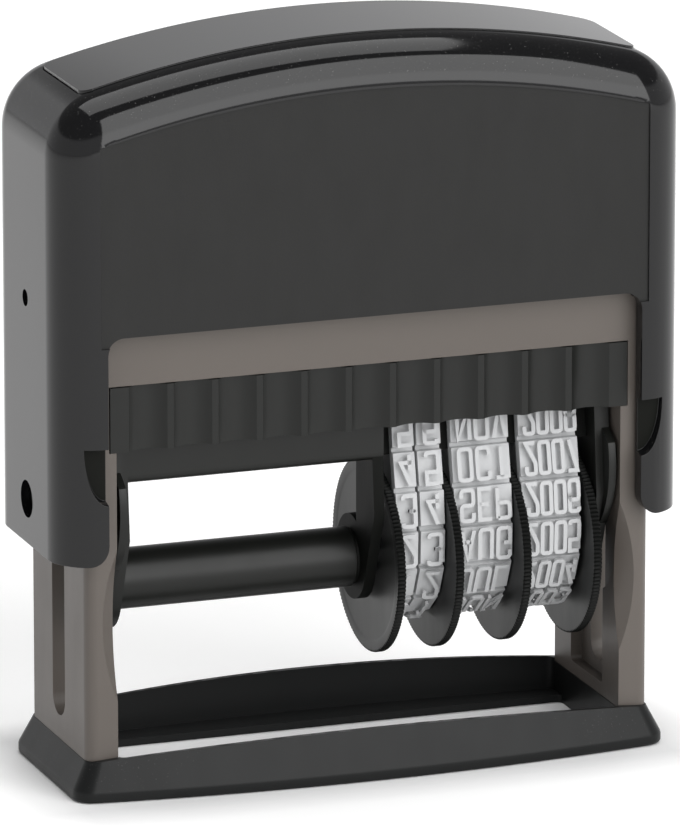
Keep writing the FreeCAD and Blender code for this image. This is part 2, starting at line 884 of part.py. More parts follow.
def padded_outline():
    """Outer outline of a band: flat pads with a groove between each two."""
    corners = band_corners()
    floor = inset_loop(corners, band_relief)
    outline = []
    count = len(corners)
    for index in range(count):
        for ring, gap in ((floor, pad_groove / 2), (corners, pad_groove / 2)):
            here = ring[index]
            after = ring[(index + 1) % count]
            run = Vector(after[0] - here[0], after[1] - here[1], 0)
            step = run.normalize() * gap
            if ring is floor:
                start = (here[0] + step.x, here[1] + step.y)
                finish = (after[0] - step.x, after[1] - step.y)
            else:
                outline.append(start)
                outline.append((here[0] + step.x, here[1] + step.y))
                outline.append((after[0] - step.x, after[1] - step.y))
                outline.append(finish)
    return outline


def make_band(left, right):
    """Rubber date band: a padded loop round the drum and the bridge."""
    outer = prism_x(padded_outline(), left, right)
    inner = prism_x(inset_loop(band_corners(), band_thickness), left - overrun, right + overrun)
    return outer.cut(inner)


def make_date_bridge():
    """Block inside the bands, from the middle arm to the end cheek."""
    outline = inset_loop(band_corners(), band_thickness + bridge_slack)
    core = prism_x(outline, middle_arm_right, arm_inner)
    half_depth = arm_widest_half_depth
    keep = box((middle_arm_right, -half_depth, platform_bottom), (arm_inner, half_depth, print_plane))
    core = core.common(keep)
    return core.fuse([bridge_tongue(-1, -seat_gap), bridge_tongue(1, -seat_gap)]).removeSplitter()


def knurled_outline():
    """Outline of a thumb disc with its fine teeth."""
    outline = []
    for index in range(knurl_count * 2):
        angle = math.pi * index / knurl_count
        radius = disc_radius - knurl_depth * (index % 2)
        outline.append((radius * math.cos(angle), axle_height + radius * math.sin(angle)))
    return outline


def make_wheel(disc_left, band_left, band_right):
    """Thumb disc with the drum that drives its band."""
    disc = prism_x(knurled_outline(), disc_left, disc_left + disc_thickness)
    if band_left > disc_left:
        left = disc_left + disc_thickness / 2
        right = band_right + wheel_gap / 2
    else:
        left = band_left - wheel_gap / 2
        right = disc_left + disc_thickness / 2
    drum = rod_x(drum_radius, left, right, 0, axle_height)
    bore = rod_x(axle_radius + running_gap, disc_left - cap_width, disc_left + cap_width, 0, axle_height)
    return disc.fuse(drum).cut(bore).removeSplitter()


def build():
    """All pieces by name."""
    pieces = {
        "cap_shell": make_cap_shell(),
        "index_window": make_index_window(),
        "index_card": make_index_card(),
        "frame": make_frame(),
        "base_ring": make_base_ring(),
        "return_spring": make_return_spring(),
        "cartridge_tray": make_cartridge_tray(),
        "ink_pad": make_ink_pad(),
        "rotor_carrier": make_rotor_carrier(),
        "end_cheek": make_end_cheek(),
        "pivot_pin_left": make_pivot_pin(-1),
        "pivot_pin_right": make_pivot_pin(1),
        "date_axle": make_date_axle(),
        "spacer_tube": make_spacer_tube(),
        "text_plate_base": make_text_plate_base(),
        "text_plate": make_text_plate(),
        "date_bridge": make_date_bridge(),
    }
    for name, *setbacks in wheel_rows:
        disc_left, band_left, band_right = [arm_inner - setback for setback in setbacks]
        pieces["wheel_" + name] = make_wheel(disc_left, band_left, band_right)
        pieces["band_" + name] = make_band(band_left, band_right)
    return pieces


os.makedirs("parts", exist_ok=True)
for node, shape in build().items():
    print(node, len(shape.Solids), shape.isValid(), round(shape.Volume, 1))
    shape.exportStep("parts/" + node + ".step")
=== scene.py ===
"""Studio scene of a self-inking text and date stamp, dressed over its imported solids.

Meshes are made in millimetres in the stamp's own frame (X right, Y to the rear, Z up)
and scaled to metres when they are put in place.
"""
import logging
import math
from collections.abc import Callable, Iterable, Sequence
from dataclasses import dataclass
from enum import Enum

import bmesh
import bpy
from mathutils import Matrix, Vector


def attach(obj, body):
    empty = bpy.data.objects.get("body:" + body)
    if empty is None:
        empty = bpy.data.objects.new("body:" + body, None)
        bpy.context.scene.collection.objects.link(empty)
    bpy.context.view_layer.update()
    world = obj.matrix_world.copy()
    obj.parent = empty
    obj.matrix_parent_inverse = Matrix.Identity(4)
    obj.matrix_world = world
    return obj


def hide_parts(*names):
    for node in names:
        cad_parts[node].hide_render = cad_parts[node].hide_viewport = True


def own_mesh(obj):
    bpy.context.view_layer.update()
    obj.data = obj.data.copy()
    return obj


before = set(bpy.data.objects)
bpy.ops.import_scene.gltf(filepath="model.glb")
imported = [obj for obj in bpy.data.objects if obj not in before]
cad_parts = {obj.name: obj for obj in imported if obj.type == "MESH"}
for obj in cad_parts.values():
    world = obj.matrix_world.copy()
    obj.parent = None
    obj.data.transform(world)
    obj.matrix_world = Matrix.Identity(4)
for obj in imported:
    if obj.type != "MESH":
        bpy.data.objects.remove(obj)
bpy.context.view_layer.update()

LOG = logging.getLogger("stamp")
MM = 0.001
FLATNESS = 0.03
GLUE = 0.004
BORE_PLAY = 0.02
PIVOT = 30.75
PRINT_RADIUS = 10.3
AXLE = PIVOT - 9.7
PRINT_PLANE = PIVOT + PRINT_RADIUS
TRAVEL = PIVOT - PRINT_RADIUS

Point = tuple[float, float]
Place = tuple[float, float, float]


class Signal:
    """A value that runs through a material's nodes, for sums in plain Python."""

    def __init__(self, board: "Board", socket: bpy.types.NodeSocket | None) -> None:
        """Keeps the socket and the board that it belongs to."""
        self.board = board
        self.socket = socket

    def _sum(self, operation: str, first: object, second: object) -> "Signal":
        """A Math node on two operands."""
        return self.board.node("ShaderNodeMath", {"operation": operation}, {0: first, 1: second})

    def __add__(self, other: object) -> "Signal":
        """This plus another."""
        return self._sum("ADD", self, other)

    def __sub__(self, other: object) -> "Signal":
        """This minus another."""
        return self._sum("SUBTRACT", self, other)

    def __rsub__(self, other: object) -> "Signal":
        """Another minus this."""
        return self._sum("SUBTRACT", other, self)

    def __mul__(self, other: object) -> "Signal":
        """This times another."""
        return self._sum("MULTIPLY", self, other)

    def __gt__(self, other: object) -> "Signal":
        """One where this is above another, else nought."""
        return self._sum("GREATER_THAN", self, other)

    def __abs__(self) -> "Signal":
        """Its size without its sign."""
        return self.board.node("ShaderNodeMath", {"operation": "ABSOLUTE"}, {0: self})

    __radd__ = __add__
    __rmul__ = __mul__


class Board:
    """Node tree that a finish is wired on."""

    def __init__(self, tree: bpy.types.NodeTree) -> None:
        """Empties the tree."""
        self.tree = tree
        tree.nodes.clear()

    def node(
        self, kind: str, settings: dict | None = None, values: dict | None = None, output: int | str = 0
    ) -> Signal:
        """Adds one node.

        Args:
            kind: Blender's name of the node's type.
            settings: properties set first; "stops" fills a colour ramp.
            values: numbers, colours or signals for its input sockets.
            output: which output is handed on.

        Returns:
            The chosen output.
        """
        made = self.tree.nodes.new(kind)
        for key, value in (settings or {}).items():
            if key == "stops":
                ramp = made.color_ramp
                while len(ramp.elements) < len(value):
                    ramp.elements.new(0.5)
                for element, (place, colour) in zip(ramp.elements, value):
                    element.position = place
                    element.color = colour
            else:
                setattr(made, key, value)
        for key, value in (values or {}).items():
            if isinstance(value, Signal):
                self.tree.links.new(value.socket, made.inputs[key])
            else:
                made.inputs[key].default_value = value
        return Signal(self, made.outputs[output] if made.outputs else None)

    def speckle(self, scale: float, detail: float = 3.0, stretch: Place = (1, 1, 1)) -> Signal:
        """Noise from 0 to 1 fixed to the piece.

        Args:
            scale: features to the metre.
            detail: octaves.
            stretch: scale along each axis.

        Returns:
            The noise.
        """
        place = self.node("ShaderNodeTexCoord", output="Object")
        if stretch != (1, 1, 1):
            place = self.node("ShaderNodeMapping", None, {"Vector": place, "Scale": stretch})
        values = {"Vector": place, "Scale": scale, "Detail": detail}
        return self.node("ShaderNodeTexNoise", None, values)

    def blend(self, share: Signal | float, first: object, second: object) -> Signal:
        """Mixes two colours by a share."""
        settings = {"data_type": "RGBA"}
        return self.node("ShaderNodeMix", settings, {0: share, 6: first, 7: second}, 2)


def tint(red: int, green: int, blue: int) -> tuple[float, float, float, float]:
    """Linear colour of a screen colour from 0 to 255."""
    linear = []
    for share in (red / 255, green / 255, blue / 255):
        linear.append(((share + 0.055) / 1.055) ** 2.4 if share > 0.0393 else share / 12.92)
    return (*linear, 1.0)


class Grain(Enum):
    """How a surface was left by its mould or maker."""

    POLISHED = "polished"
    SATIN = "satin"
    SPARK = "spark-eroded"
    RUBBER = "rubber"
    FELT = "felt"
    DRAWN = "drawn wire"


@dataclass(frozen=True)
class Finish:
    """Colour and surface of one material.

    The mottle is how far the colour drifts, the grain how its fine relief is made.
    """

    name: str
    colour: tuple[float, float, float, float]
    roughness: float
    grain: Grain
    slot: str
    relief: float = 0.004
    grain_size: float = 0.25
    mottle: float = 0.12
    metallic: float = 0.0
    coat: float = 0.0
    dust: float = 0.0
    specular: float = 0.5

    def _relief(self, board: Board) -> Signal:
        """Height of the fine surface from 0 to 1."""
        scale = 1000 / self.grain_size
        if self.grain is Grain.SPARK:
            return board.speckle(scale, 2.0) * 0.65 + board.speckle(scale * 2.7, 2.0) * 0.35
        if self.grain is Grain.FELT:
            return board.speckle(scale, 6.0) * 0.5 + board.speckle(scale, 4.0, (0.25, 2.0, 1.0)) * 0.5
        if self.grain is Grain.DRAWN:
            return board.speckle(scale, 4.0, (0.06, 1.0, 1.0))
        if self.grain is Grain.RUBBER:
            return board.speckle(scale, 4.0) * 0.7 + board.speckle(scale * 0.2, 2.0) * 0.3
        return board.speckle(scale * 0.12, 2.0) * 0.75 + board.speckle(scale, 3.0) * 0.25

    def material(self) -> bpy.types.Material:
        """The material, made at its first use."""
        found = bpy.data.materials.get(self.name)
        if found is not None:
            return found
        made = bpy.data.materials.new(self.name)
        made.use_nodes = True
        board = Board(made.node_tree)
        cloud = board.speckle(90.0, 4.0)
        fine = self._relief(board)
        dark = tuple(part * (1 - self.mottle) for part in self.colour[:3]) + (1.0,)
        light = tuple(min(1.0, part * (1 + self.mottle)) for part in self.colour[:3]) + (1.0,)
        colour = board.blend(cloud, dark, light)
        streaks = board.speckle(420.0, 5.0, (1.0, 1.0, 0.35)) - 0.5
        rough = self.roughness + streaks * (0.3 * self.roughness)
        if self.dust:
            normal = board.node("ShaderNodeNewGeometry", output="Normal")
            up = board.node("ShaderNodeSeparateXYZ", None, {0: normal}, 2)
            motes = (board.speckle(5200.0, 2.0) > 0.70) * (up > 0.3) * self.dust
            colour = board.blend(motes, colour, (0.5, 0.49, 0.47, 1.0))
            rough = rough + motes * 0.4
        relief = {"Strength": 1.0, "Distance": self.relief * MM, "Height": fine}
        bump = board.node("ShaderNodeBump", None, relief, "Normal")
        values = {
            "Base Color": colour,
            "Roughness": rough,
            "Metallic": self.metallic,
            "Coat Weight": self.coat,
            "Coat Roughness": 0.04,
            "Specular IOR Level": self.specular,
            "Normal": bump,
        }
        shader = board.node("ShaderNodeBsdfPrincipled", None, values)
        board.node("ShaderNodeOutputMaterial", None, {"Surface": shader})
        return made


CAP_GLOSS = Finish(
    "cap gloss", tint(14, 14, 15), 0.08, Grain.POLISHED, "cap_gloss", 0.0006, 1.2, 0.08, dust=0.12,
    specular=0.38
)
CAP_MATT = Finish(
    "cap matt panel", tint(20, 20, 19), 0.55, Grain.SPARK, "cap_gloss", 0.012, 0.22, 0.06, specular=0.32
)
# Scoop floors: near-black, dull and barely reflecting, painted shade in the recessed scoops.
CAP_SCOOP_SHADE = Finish(
    "cap scoop painted shade", tint(14, 15, 12), 0.6, Grain.SPARK, "cap_gloss", 0.006, 0.22, 0.06, specular=0.1
)
INDEX_CLEAR = Finish(
    "index window", tint(12, 12, 13), 0.06, Grain.POLISHED, "smoked_window", 0.0003, 1.2, 0.05,
    coat=0.1, specular=0.4
)
CARD = Finish("index card", tint(215, 214, 208), 0.75, Grain.FELT, "card", 0.01, 0.3, 0.04)
FRAME_TAUPE = Finish(
    "frame taupe", tint(88, 82, 77), 0.42, Grain.SATIN, "frame_plastic", 0.004, 0.5, 0.05, specular=0.35
)
BASE_CHARCOAL = Finish(
    "base charcoal", tint(22, 23, 23), 0.36, Grain.SATIN, "base_plastic", 0.004, 0.5, 0.08, dust=0.08,
    specular=0.2
)
BLACK_SATIN = Finish(
    "black satin", tint(20, 21, 19), 0.38, Grain.SATIN, "black_plastic", 0.004, 0.4, 0.08, specular=0.3
)
# Date bridge's own near-black; on the yoke's middle arm it is painted shade.
BRIDGE_BLACK_AND_ARM_SHADE = Finish(
    "bridge black and arm shade", tint(12, 13, 11), 0.6, Grain.SATIN, "black_plastic", 0.004, 0.4, 0.08, specular=0.1
)
# Knurled rim darker and duller than its wheel: painted shade between the teeth.
WHEEL_RIM_SHADE = Finish(
    "wheel rim painted shade", tint(14, 15, 14), 0.5, Grain.SATIN, "wheel_plastic", 0.003, 0.4, 0.08, specular=0.12
)
WHEEL_BLACK = Finish(
    "wheel black", tint(26, 27, 26), 0.42, Grain.SATIN, "wheel_plastic", 0.003, 0.4, 0.08, specular=0.4
)
BAND_RUBBER = Finish(
    "band rubber", tint(184, 185, 186), 0.62, Grain.RUBBER, "print_rubber", 0.008, 0.3, 0.05, specular=0.4
)
PLATE_RUBBER = Finish(
    "plate rubber", tint(140, 136, 132), 0.65, Grain.RUBBER, "print_rubber", 0.008, 0.3, 0.1
)
FOAM = Finish("foam", tint(60, 60, 62), 0.9, Grain.FELT, "foam", 0.06, 0.35, 0.2)
FELT = Finish("inked felt", tint(28, 30, 48), 0.8, Grain.FELT, "pad_felt", 0.08, 0.3, 0.25)
STEEL = Finish(
    "spring steel", tint(190, 190, 192), 0.24, Grain.DRAWN, "spring_steel", 0.003, 0.2, 0.06, metallic=1.0
)


class Workpiece:
    """Mesh in the making, in millimetres."""

    def __init__(self, mesh: bpy.types.Mesh) -> None:
        """Takes over a mesh."""
        self.mesh = mesh

    @classmethod
    def of(cls, form: bmesh.types.BMesh) -> "Workpiece":
        """Turns a finished form into a workpiece with its faces outward."""
        bmesh.ops.recalc_face_normals(form, faces=form.faces)
        mesh = bpy.data.meshes.new("work")
        form.to_mesh(mesh)
        form.free()
        return cls(mesh)

    @classmethod
    def skin(cls, rings: Sequence[Sequence[Place]], looped: bool = False) -> "Workpiece":
        """Closed skin over rings that all have the same number of points.

        Args:
            rings: closed rings of points, one after another.
            looped: the last ring joins the first, else both ends are capped.

        Returns:
            The workpiece.
        """
        form = bmesh.new()
        rows = [[form.verts.new(place) for place in ring] for ring in rings]
        pairs = list(zip(rows, rows[1:]))
        if looped:
            pairs.append((rows[-1], rows[0]))
        else:
            form.faces.new(rows[0])
            form.faces.new(rows[-1])
        for low, high in pairs:
            for index in range(len(low)):
                ahead = (index + 1) % len(low)
                form.faces.new((low[index], low[ahead], high[ahead], high[index]))
        return cls.of(form)

    @classmethod
    def prism(cls, outline: Sequence[Point], low: float, high: float, axis: str) -> "Workpiece":
        """Straight prism of an outline along x, y or z."""
        return cls.skin([[raised(point, at, axis) for point in outline] for at in (low, high)])

    @classmethod
    def block(
        cls, low: Place, high: Place, corner: float = 0.0, axis: str = "z", steps: int = 6
    ) -> "Workpiece":
        """Block with its edges along one axis rounded.

        Args:
            low: lowest corner.
            high: highest corner.
            corner: radius of the rounded edges.
            axis: the axis that they run along.
            steps: divisions of each round.

        Returns:
            The workpiece.
        """
        at = "xyz".index(axis)
        first, second = [index for index in range(3) if index != at]
        outline = rounded_outline((low[first], low[second]), (high[first], high[second]), corner, steps)
        return cls.prism(outline, low[at], high[at], axis)

    @classmethod
    def turned(
        cls, profile: Sequence[Point], place: Point, sides: int = 96, looped: bool = True
    ) -> "Workpiece":
        """Turned piece about a line along X.

        Args:
            profile: (x, radius) points; with looped they close on themselves.
            place: y and z of the line.
            sides: divisions round it.
            looped: a hollow profile.

        Returns:
            The workpiece.
        """
        rings = []
        for x, radius in profile:
            rings.append([(x, place[0] + y, place[1] + z) for y, z in circle(radius, sides)])
        return cls.skin(rings, looped)

    def _bench(self) -> bpy.types.Object:
        """Object that holds the mesh while it is worked on."""
        made = bpy.data.objects.new("bench", self.mesh)
        bpy.context.scene.collection.objects.link(made)
        return made

    def _combine(self, operation: str, others: Iterable["Workpiece"]) -> "Workpiece":
        """Adds, cuts or keeps other workpieces one after another."""
        host = self._bench()
        tools = []
        for other in others:
            tool = other._bench()
            tools.append(tool)
            step = host.modifiers.new("step", "BOOLEAN")
            step.operation = operation
            step.solver = "EXACT"
            step.object = tool
        bpy.context.view_layer.update()
        graph = bpy.context.evaluated_depsgraph_get()
        self.mesh = bpy.data.meshes.new_from_object(host.evaluated_get(graph))
        for used in [host] + tools:
            bpy.data.objects.remove(used)
        return self

    def cut(self, *others: "Workpiece") -> "Workpiece":
        """Cuts the others out of this one."""
        return self._combine("DIFFERENCE", others)

    def join(self, *others: "Workpiece") -> "Workpiece":
        """Makes one solid of this and the others."""
        return self._combine("UNION", others)

    def keep(self, other: "Workpiece") -> "Workpiece":
        """Keeps what lies inside the other."""
        return self._combine("INTERSECT", [other])

    def soften(
        self, width: float, steps: int = 2, angle: float = 35.0,
        where: Callable[[Vector], bool] | None = None,
    ) -> "Workpiece":
        """Rounds the sharp edges.

        Args:
            width: how far the round reaches from the edge.
            steps: divisions of the round.
            angle: edges that turn by less stay as they are.
            where: takes only edges whose middle it accepts.

        Returns:
            This workpiece.
        """
        form = bmesh.new()
        form.from_mesh(self.mesh)
        bmesh.ops.remove_doubles(form, verts=form.verts, dist=GLUE)
        bmesh.ops.dissolve_degenerate(form, edges=form.edges, dist=GLUE)
        chosen = []
        for edge in form.edges:
            if len(edge.link_faces) != 2 or edge.calc_face_angle(0.0) < math.radians(angle):
                continue
            middle = (edge.verts[0].co + edge.verts[1].co) / 2
            if where is None or where(middle):
                chosen.append(edge)
        bmesh.ops.bevel(
            form, geom=chosen, offset=width, offset_type="OFFSET", segments=steps,
            profile=0.5, affect="EDGES", clamp_overlap=True,
        )
        form.to_mesh(self.mesh)
        form.free()
        return self

    def add(self, *others: "Workpiece") -> "Workpiece":
        """Lays other closed meshes into this one's mesh."""
        form = bmesh.new()
        for work in (self, *others):
            form.from_mesh(work.mesh)
        form.to_mesh(self.mesh)
        form.free()
        return self

    def put(
        self, name: str, body: str, finishes: Finish | Sequence[Finish], *nodes: str,
        paint: Callable[[bpy.types.MeshPolygon], int] | None = None, sharp: float = 32.0,
    ) -> bpy.types.Object:
        """Puts the finished piece on its body, in metres.

        Args:
            name: name of the piece.
            body: body that it moves with.
            finishes: one finish, or several for paint to choose from.
            nodes: solids that it stands for.
            paint: gives the number of the finish of a face.
            sharp: edges that turn by more stay crisp.

        Returns:
            The object.
        """
        choice = [finishes] if isinstance(finishes, Finish) else list(finishes)
        mesh = self.mesh
        numbers = [paint(face) if paint else 0 for face in mesh.polygons]
        mesh.materials.clear()
        for finish in choice:
            mesh.materials.append(finish.material())
        mesh.polygons.foreach_set("material_index", numbers)
        mesh.transform(Matrix.Scale(MM, 4))
        mesh.shade_smooth()
        mesh.set_sharp_from_angle(angle=math.radians(sharp))
        mesh.name = name
        made = bpy.data.objects.new(name, mesh)
        bpy.context.scene.collection.objects.link(made)
        even = made.modifiers.new("even normals", "WEIGHTED_NORMAL")
        even.keep_sharp = True
        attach(made, body)
        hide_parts(*nodes)
        LOG.info("%s: %d faces on %s", name, len(mesh.polygons), body)
        return made


def raised(point: Point, at: float, axis: str) -> Place:
    """A point of an outline set at a height along an axis."""
    first, second = point
    return {"x": (at, first, second), "y": (first, at, second), "z": (first, second, at)}[axis]


def circle(radius: float, sides: int) -> list[Point]:
    """Points round the origin."""
    turns = [math.tau * index / sides for index in range(sides)]
    return [(radius * math.cos(turn), radius * math.sin(turn)) for turn in turns]


def arc(centre: Point, radius: float, start: float, end: float, steps: int) -> list[Point]:
    """Points along an arc, angles in degrees."""
    turns = [math.radians(start + (end - start) * index / steps) for index in range(steps + 1)]
    across, up = centre
    return [(across + radius * math.cos(turn), up + radius * math.sin(turn)) for turn in turns]


def rounded_outline(low: Point, high: Point, radius: float, steps: int) -> list[Point]:
    """Rectangle with rounded corners."""
    if not radius:
        return [low, (high[0], low[1]), high, (low[0], high[1])]
    outline = arc((high[0] - radius, low[1] + radius), radius, -90, 0, steps)
    outline += arc((high[0] - radius, high[1] - radius), radius, 0, 90, steps)
    outline += arc((low[0] + radius, high[1] - radius), radius, 90, 180, steps)
    return outline + arc((low[0] + radius, low[1] + radius), radius, 180, 270, steps)


def carried_over(node: str, finish: Finish) -> None:
    """Dresses a solid that is shown as it is."""
    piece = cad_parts[node]
    piece.data.materials.clear()
    piece.data.materials.append(finish.material())
    LOG.info("%s: kept, %s", node, finish.name)


@dataclass
class Case:
    """Arched box of the cap: its outside or its hollow."""

    half_width: float
    half_depth: float
    low: float
    top: float
    crown: float
    shoulder: float
    edge: float

    def outline(self, inset: float = 0.0) -> list[Point]:
        """Arched outline seen from the front, moved inward by an inset."""
        centre = self.top - self.crown
        across = self.half_width - self.shoulder
        reach = self.crown - self.shoulder
        height = centre + math.sqrt(reach ** 2 - across ** 2)
        lean = math.degrees(math.atan2(height - centre, across))
        outline = [(self.half_width - inset, self.low)]
        outline += arc((across, height), self.shoulder - inset, 0, lean, 14)
        outline += arc((0, centre), self.crown - inset, lean, 180 - lean, 56)[1:]
        outline += arc((-across, height), self.shoulder - inset, 180 - lean, 180, 14)[1:]
        return outline + [(inset - self.half_width, self.low)]

    def solid(self, steps: int = 12) -> Workpiece:
        """The case with one round all along its front and back rims."""
        rings = []
        for side in (-1, 1):
            for index in range(steps + 1):
                turn = math.pi / 2 * (steps - index if side < 0 else index) / steps
                y = side * (self.half_depth - self.edge + self.edge * math.sin(turn))
                inset = self.edge * (1 - math.cos(turn))
                rings.append([(x, y, z) for x, z in self.outline(inset)])
        return Workpiece.skin(rings)


@dataclass
class Cap:
    """Outer cap with its window, scoops, holes and the index in its roof."""

    half_width: float = 35.0
    half_depth: float = 11.8
    low: float = 25.9
    top: float = 79.8
    crown: float = 117.0
    wall: float = 1.8
    roof: float = 3.6
    shoulder: float = 7.0
    edge: float = 5.0
    window_half: float = 29.75
    window_top: float = 50.4
    panel_half: float = 30.5
    panel_top: float = 74.9
    recess: float = 0.25
    index_half: float = 31.0
    index_depth_half: float = 7.0
    index_depth: float = 1.6
    index_corner: float = 1.5
    hole: float = 2.01
    vent: float = 0.9
    vent_height: float = 52.6
    scoop_width: float = 2.7
    scoop_height: float = 6.1
    scoop_depth: float = 1.2
    scoop_top: float = 38.6

    def _case(self, inset: float, drop: float) -> Case:
        """The cap's case, moved inward by a wall and down by a roof."""
        return Case(
            self.half_width - inset, self.half_depth - inset, self.low - (1 if inset else 0),
            self.top - drop, self.crown - drop, self.shoulder - inset, self.edge - inset,
        )

    def _arched(self, half_width: float, top: float, crown: float, low: float, y: Point) -> Workpiece:
        """Prism under an arch from one y to another."""
        lean = math.degrees(math.acos(half_width / crown))
        arch = arc((0, top - crown), crown, lean, 180 - lean, 64)
        return Workpiece.prism([(half_width, low), *arch, (-half_width, low)], y[0], y[1], "y")

    def _slab(self, lift: float, floor: float, inset: float) -> Workpiece:
        """Slab that follows the roof, from a floor under the arch to a lift above it."""
        half = self.index_half - inset
        depth = self.index_depth_half - inset
        slab = self._arched(half, self.top + lift, self.crown + lift, self.top - 6, (-depth, depth))
        low, high = (-half, -depth, self.top - 12), (half, depth, self.top + 4)
        plan = Workpiece.block(low, high, self.index_corner - inset, "z", 8)
        ends = (-depth - 2, depth + 2)
        under = self._arched(half + 2, self.top - floor, self.crown - floor, self.top - 14, ends)
        return slab.keep(plan).cut(under)

    def _scoop(self, side: int, end: int) -> Workpiece:
        """Cutter of the finger scoop beside the window, with sloped sides."""
        edge, face = end * self.window_half, side * self.half_depth
        rings = []
        for depth in (-1.0, 0.0, self.scoop_depth):
            draft = min(depth, 0.0) + depth * 0.25
            outline = [(edge - end, self.scoop_top)]
            for index in range(17):
                turn = index / 16 * math.pi / 2
                out = (self.scoop_width - draft) * math.cos(turn)
                down = (self.scoop_height - draft) * math.sin(turn)
                outline.append((edge + end * out, self.scoop_top - down))
            outline.append((edge - end, self.scoop_top - self.scoop_height + draft))
            rings.append([(x, face - side * depth, z) for x, z in outline])
        return Workpiece.skin(rings)

    def _leg_corner(self, end: int, radius: float = 2.2) -> Workpiece:
        """Cutter that rounds the lower inner corner of the legs."""
        edge = end * self.window_half
        middle = (edge + end * radius, self.low + radius)
        start, finish = (270, 180) if end > 0 else (270, 360)
        outline = arc(middle, radius, start, finish, 8)
        outline += [(edge - end, middle[1]), (edge - end, self.low - 1), (middle[0], self.low - 1)]
        return Workpiece.prism(outline, -15, 15, "y")

    def _number(self, piece: bpy.types.MeshPolygon) -> int:
        """Second on the recessed panels, third (painted shade) on scoop floors, first elsewhere."""
        if abs(piece.normal.y) < 0.99:
            return 0
        sunk, height = self.half_depth - abs(piece.center.y), piece.center.z
        if abs(sunk - self.recess) < FLATNESS and height > self.window_top - 2:
            return 1
        # Scoop floors take the painted-shade finish.
        return 2 if abs(sunk - self.scoop_depth) < FLATNESS and height < self.scoop_top else 0

    def build(self) -> None:
        """Makes the shell, the index window and the card under it."""
        shell = self._case(0, 0).solid()
        hollow = self._case(self.wall, self.roof).solid(8)
        shell.cut(hollow)
        under = self.top - self.roof
        inside = self._case(self.wall / 2, self.roof / 2)
        boss = round_bar(2.9, under - 3, under + 0.9)
        ribs = []
        for x in (-17.5, 17.5):
            rib = Workpiece.block((x - 0.6, -10.9, under - 4.8), (x + 0.6, 10.9, under))
            ribs.append(rib.keep(inside.solid(6)))
        shell.join(boss, *ribs)
        window = Workpiece.block(
            (-self.window_half, -20, self.low - 4), (self.window_half, 20, self.window_top), 1.8, "y", 8
        )
        corners = [self._leg_corner(end) for end in (-1, 1)]
        scoops = [self._scoop(side, end) for side in (-1, 1) for end in (-1, 1)]
        shell.cut(window, *corners, *scoops)
        shell.soften(0.22, 3, 50, lambda place: place.z < self.window_top + 0.1)
        face = self.half_depth - self.recess
        panels = []
        low = self.window_top - 1
        for y in ((-face - 2, -face), (face, face + 2)):
            panels.append(self._arched(self.panel_half, self.panel_top, self.crown, low, y))
        shell.cut(*panels)
        reach = self.half_width + 2
        holes = ((self.hole, PIVOT), (self.vent, self.vent_height))
        bores = [bar(radius, -reach, reach, height) for radius, height in holes]
        shell.cut(*bores, self._slab(2, self.index_depth, 0))
        finishes = (CAP_GLOSS, CAP_MATT, CAP_SCOOP_SHADE)
        shell.put("cap_case", "cap", finishes, "cap_shell", paint=self._number)
        insert = self._slab(0.2, self.index_depth - 0.3, 0.12)
        insert.soften(0.25, 3, 45)
        insert.put("index_lens", "cap", INDEX_CLEAR, "index_window")
        carried_over("index_card", CARD)


def bar(
    radius: float, left: float, right: float, height: float, y: float = 0.0, chamfer: float = 0.0
) -> Workpiece:
    """Round bar along X.

    Args:
        radius: its radius.
        left: where it starts.
        right: where it ends.
        height: its height.
        y: its place from front to back.
        chamfer: size of the chamfer at both ends.

    Returns:
        The workpiece.
    """
    profile = [(left, radius), (right, radius)]
    if chamfer:
        less = radius - chamfer
        profile = [(left, less), (left + chamfer, radius), (right - chamfer, radius), (right, less)]
    return Workpiece.turned(profile, (y, height), 64, False)


def round_bar(radius: float, low: float, high: float) -> Workpiece:
    """Upright round bar in the middle."""
    return Workpiece.prism(circle(radius, 48), low, high, "z")


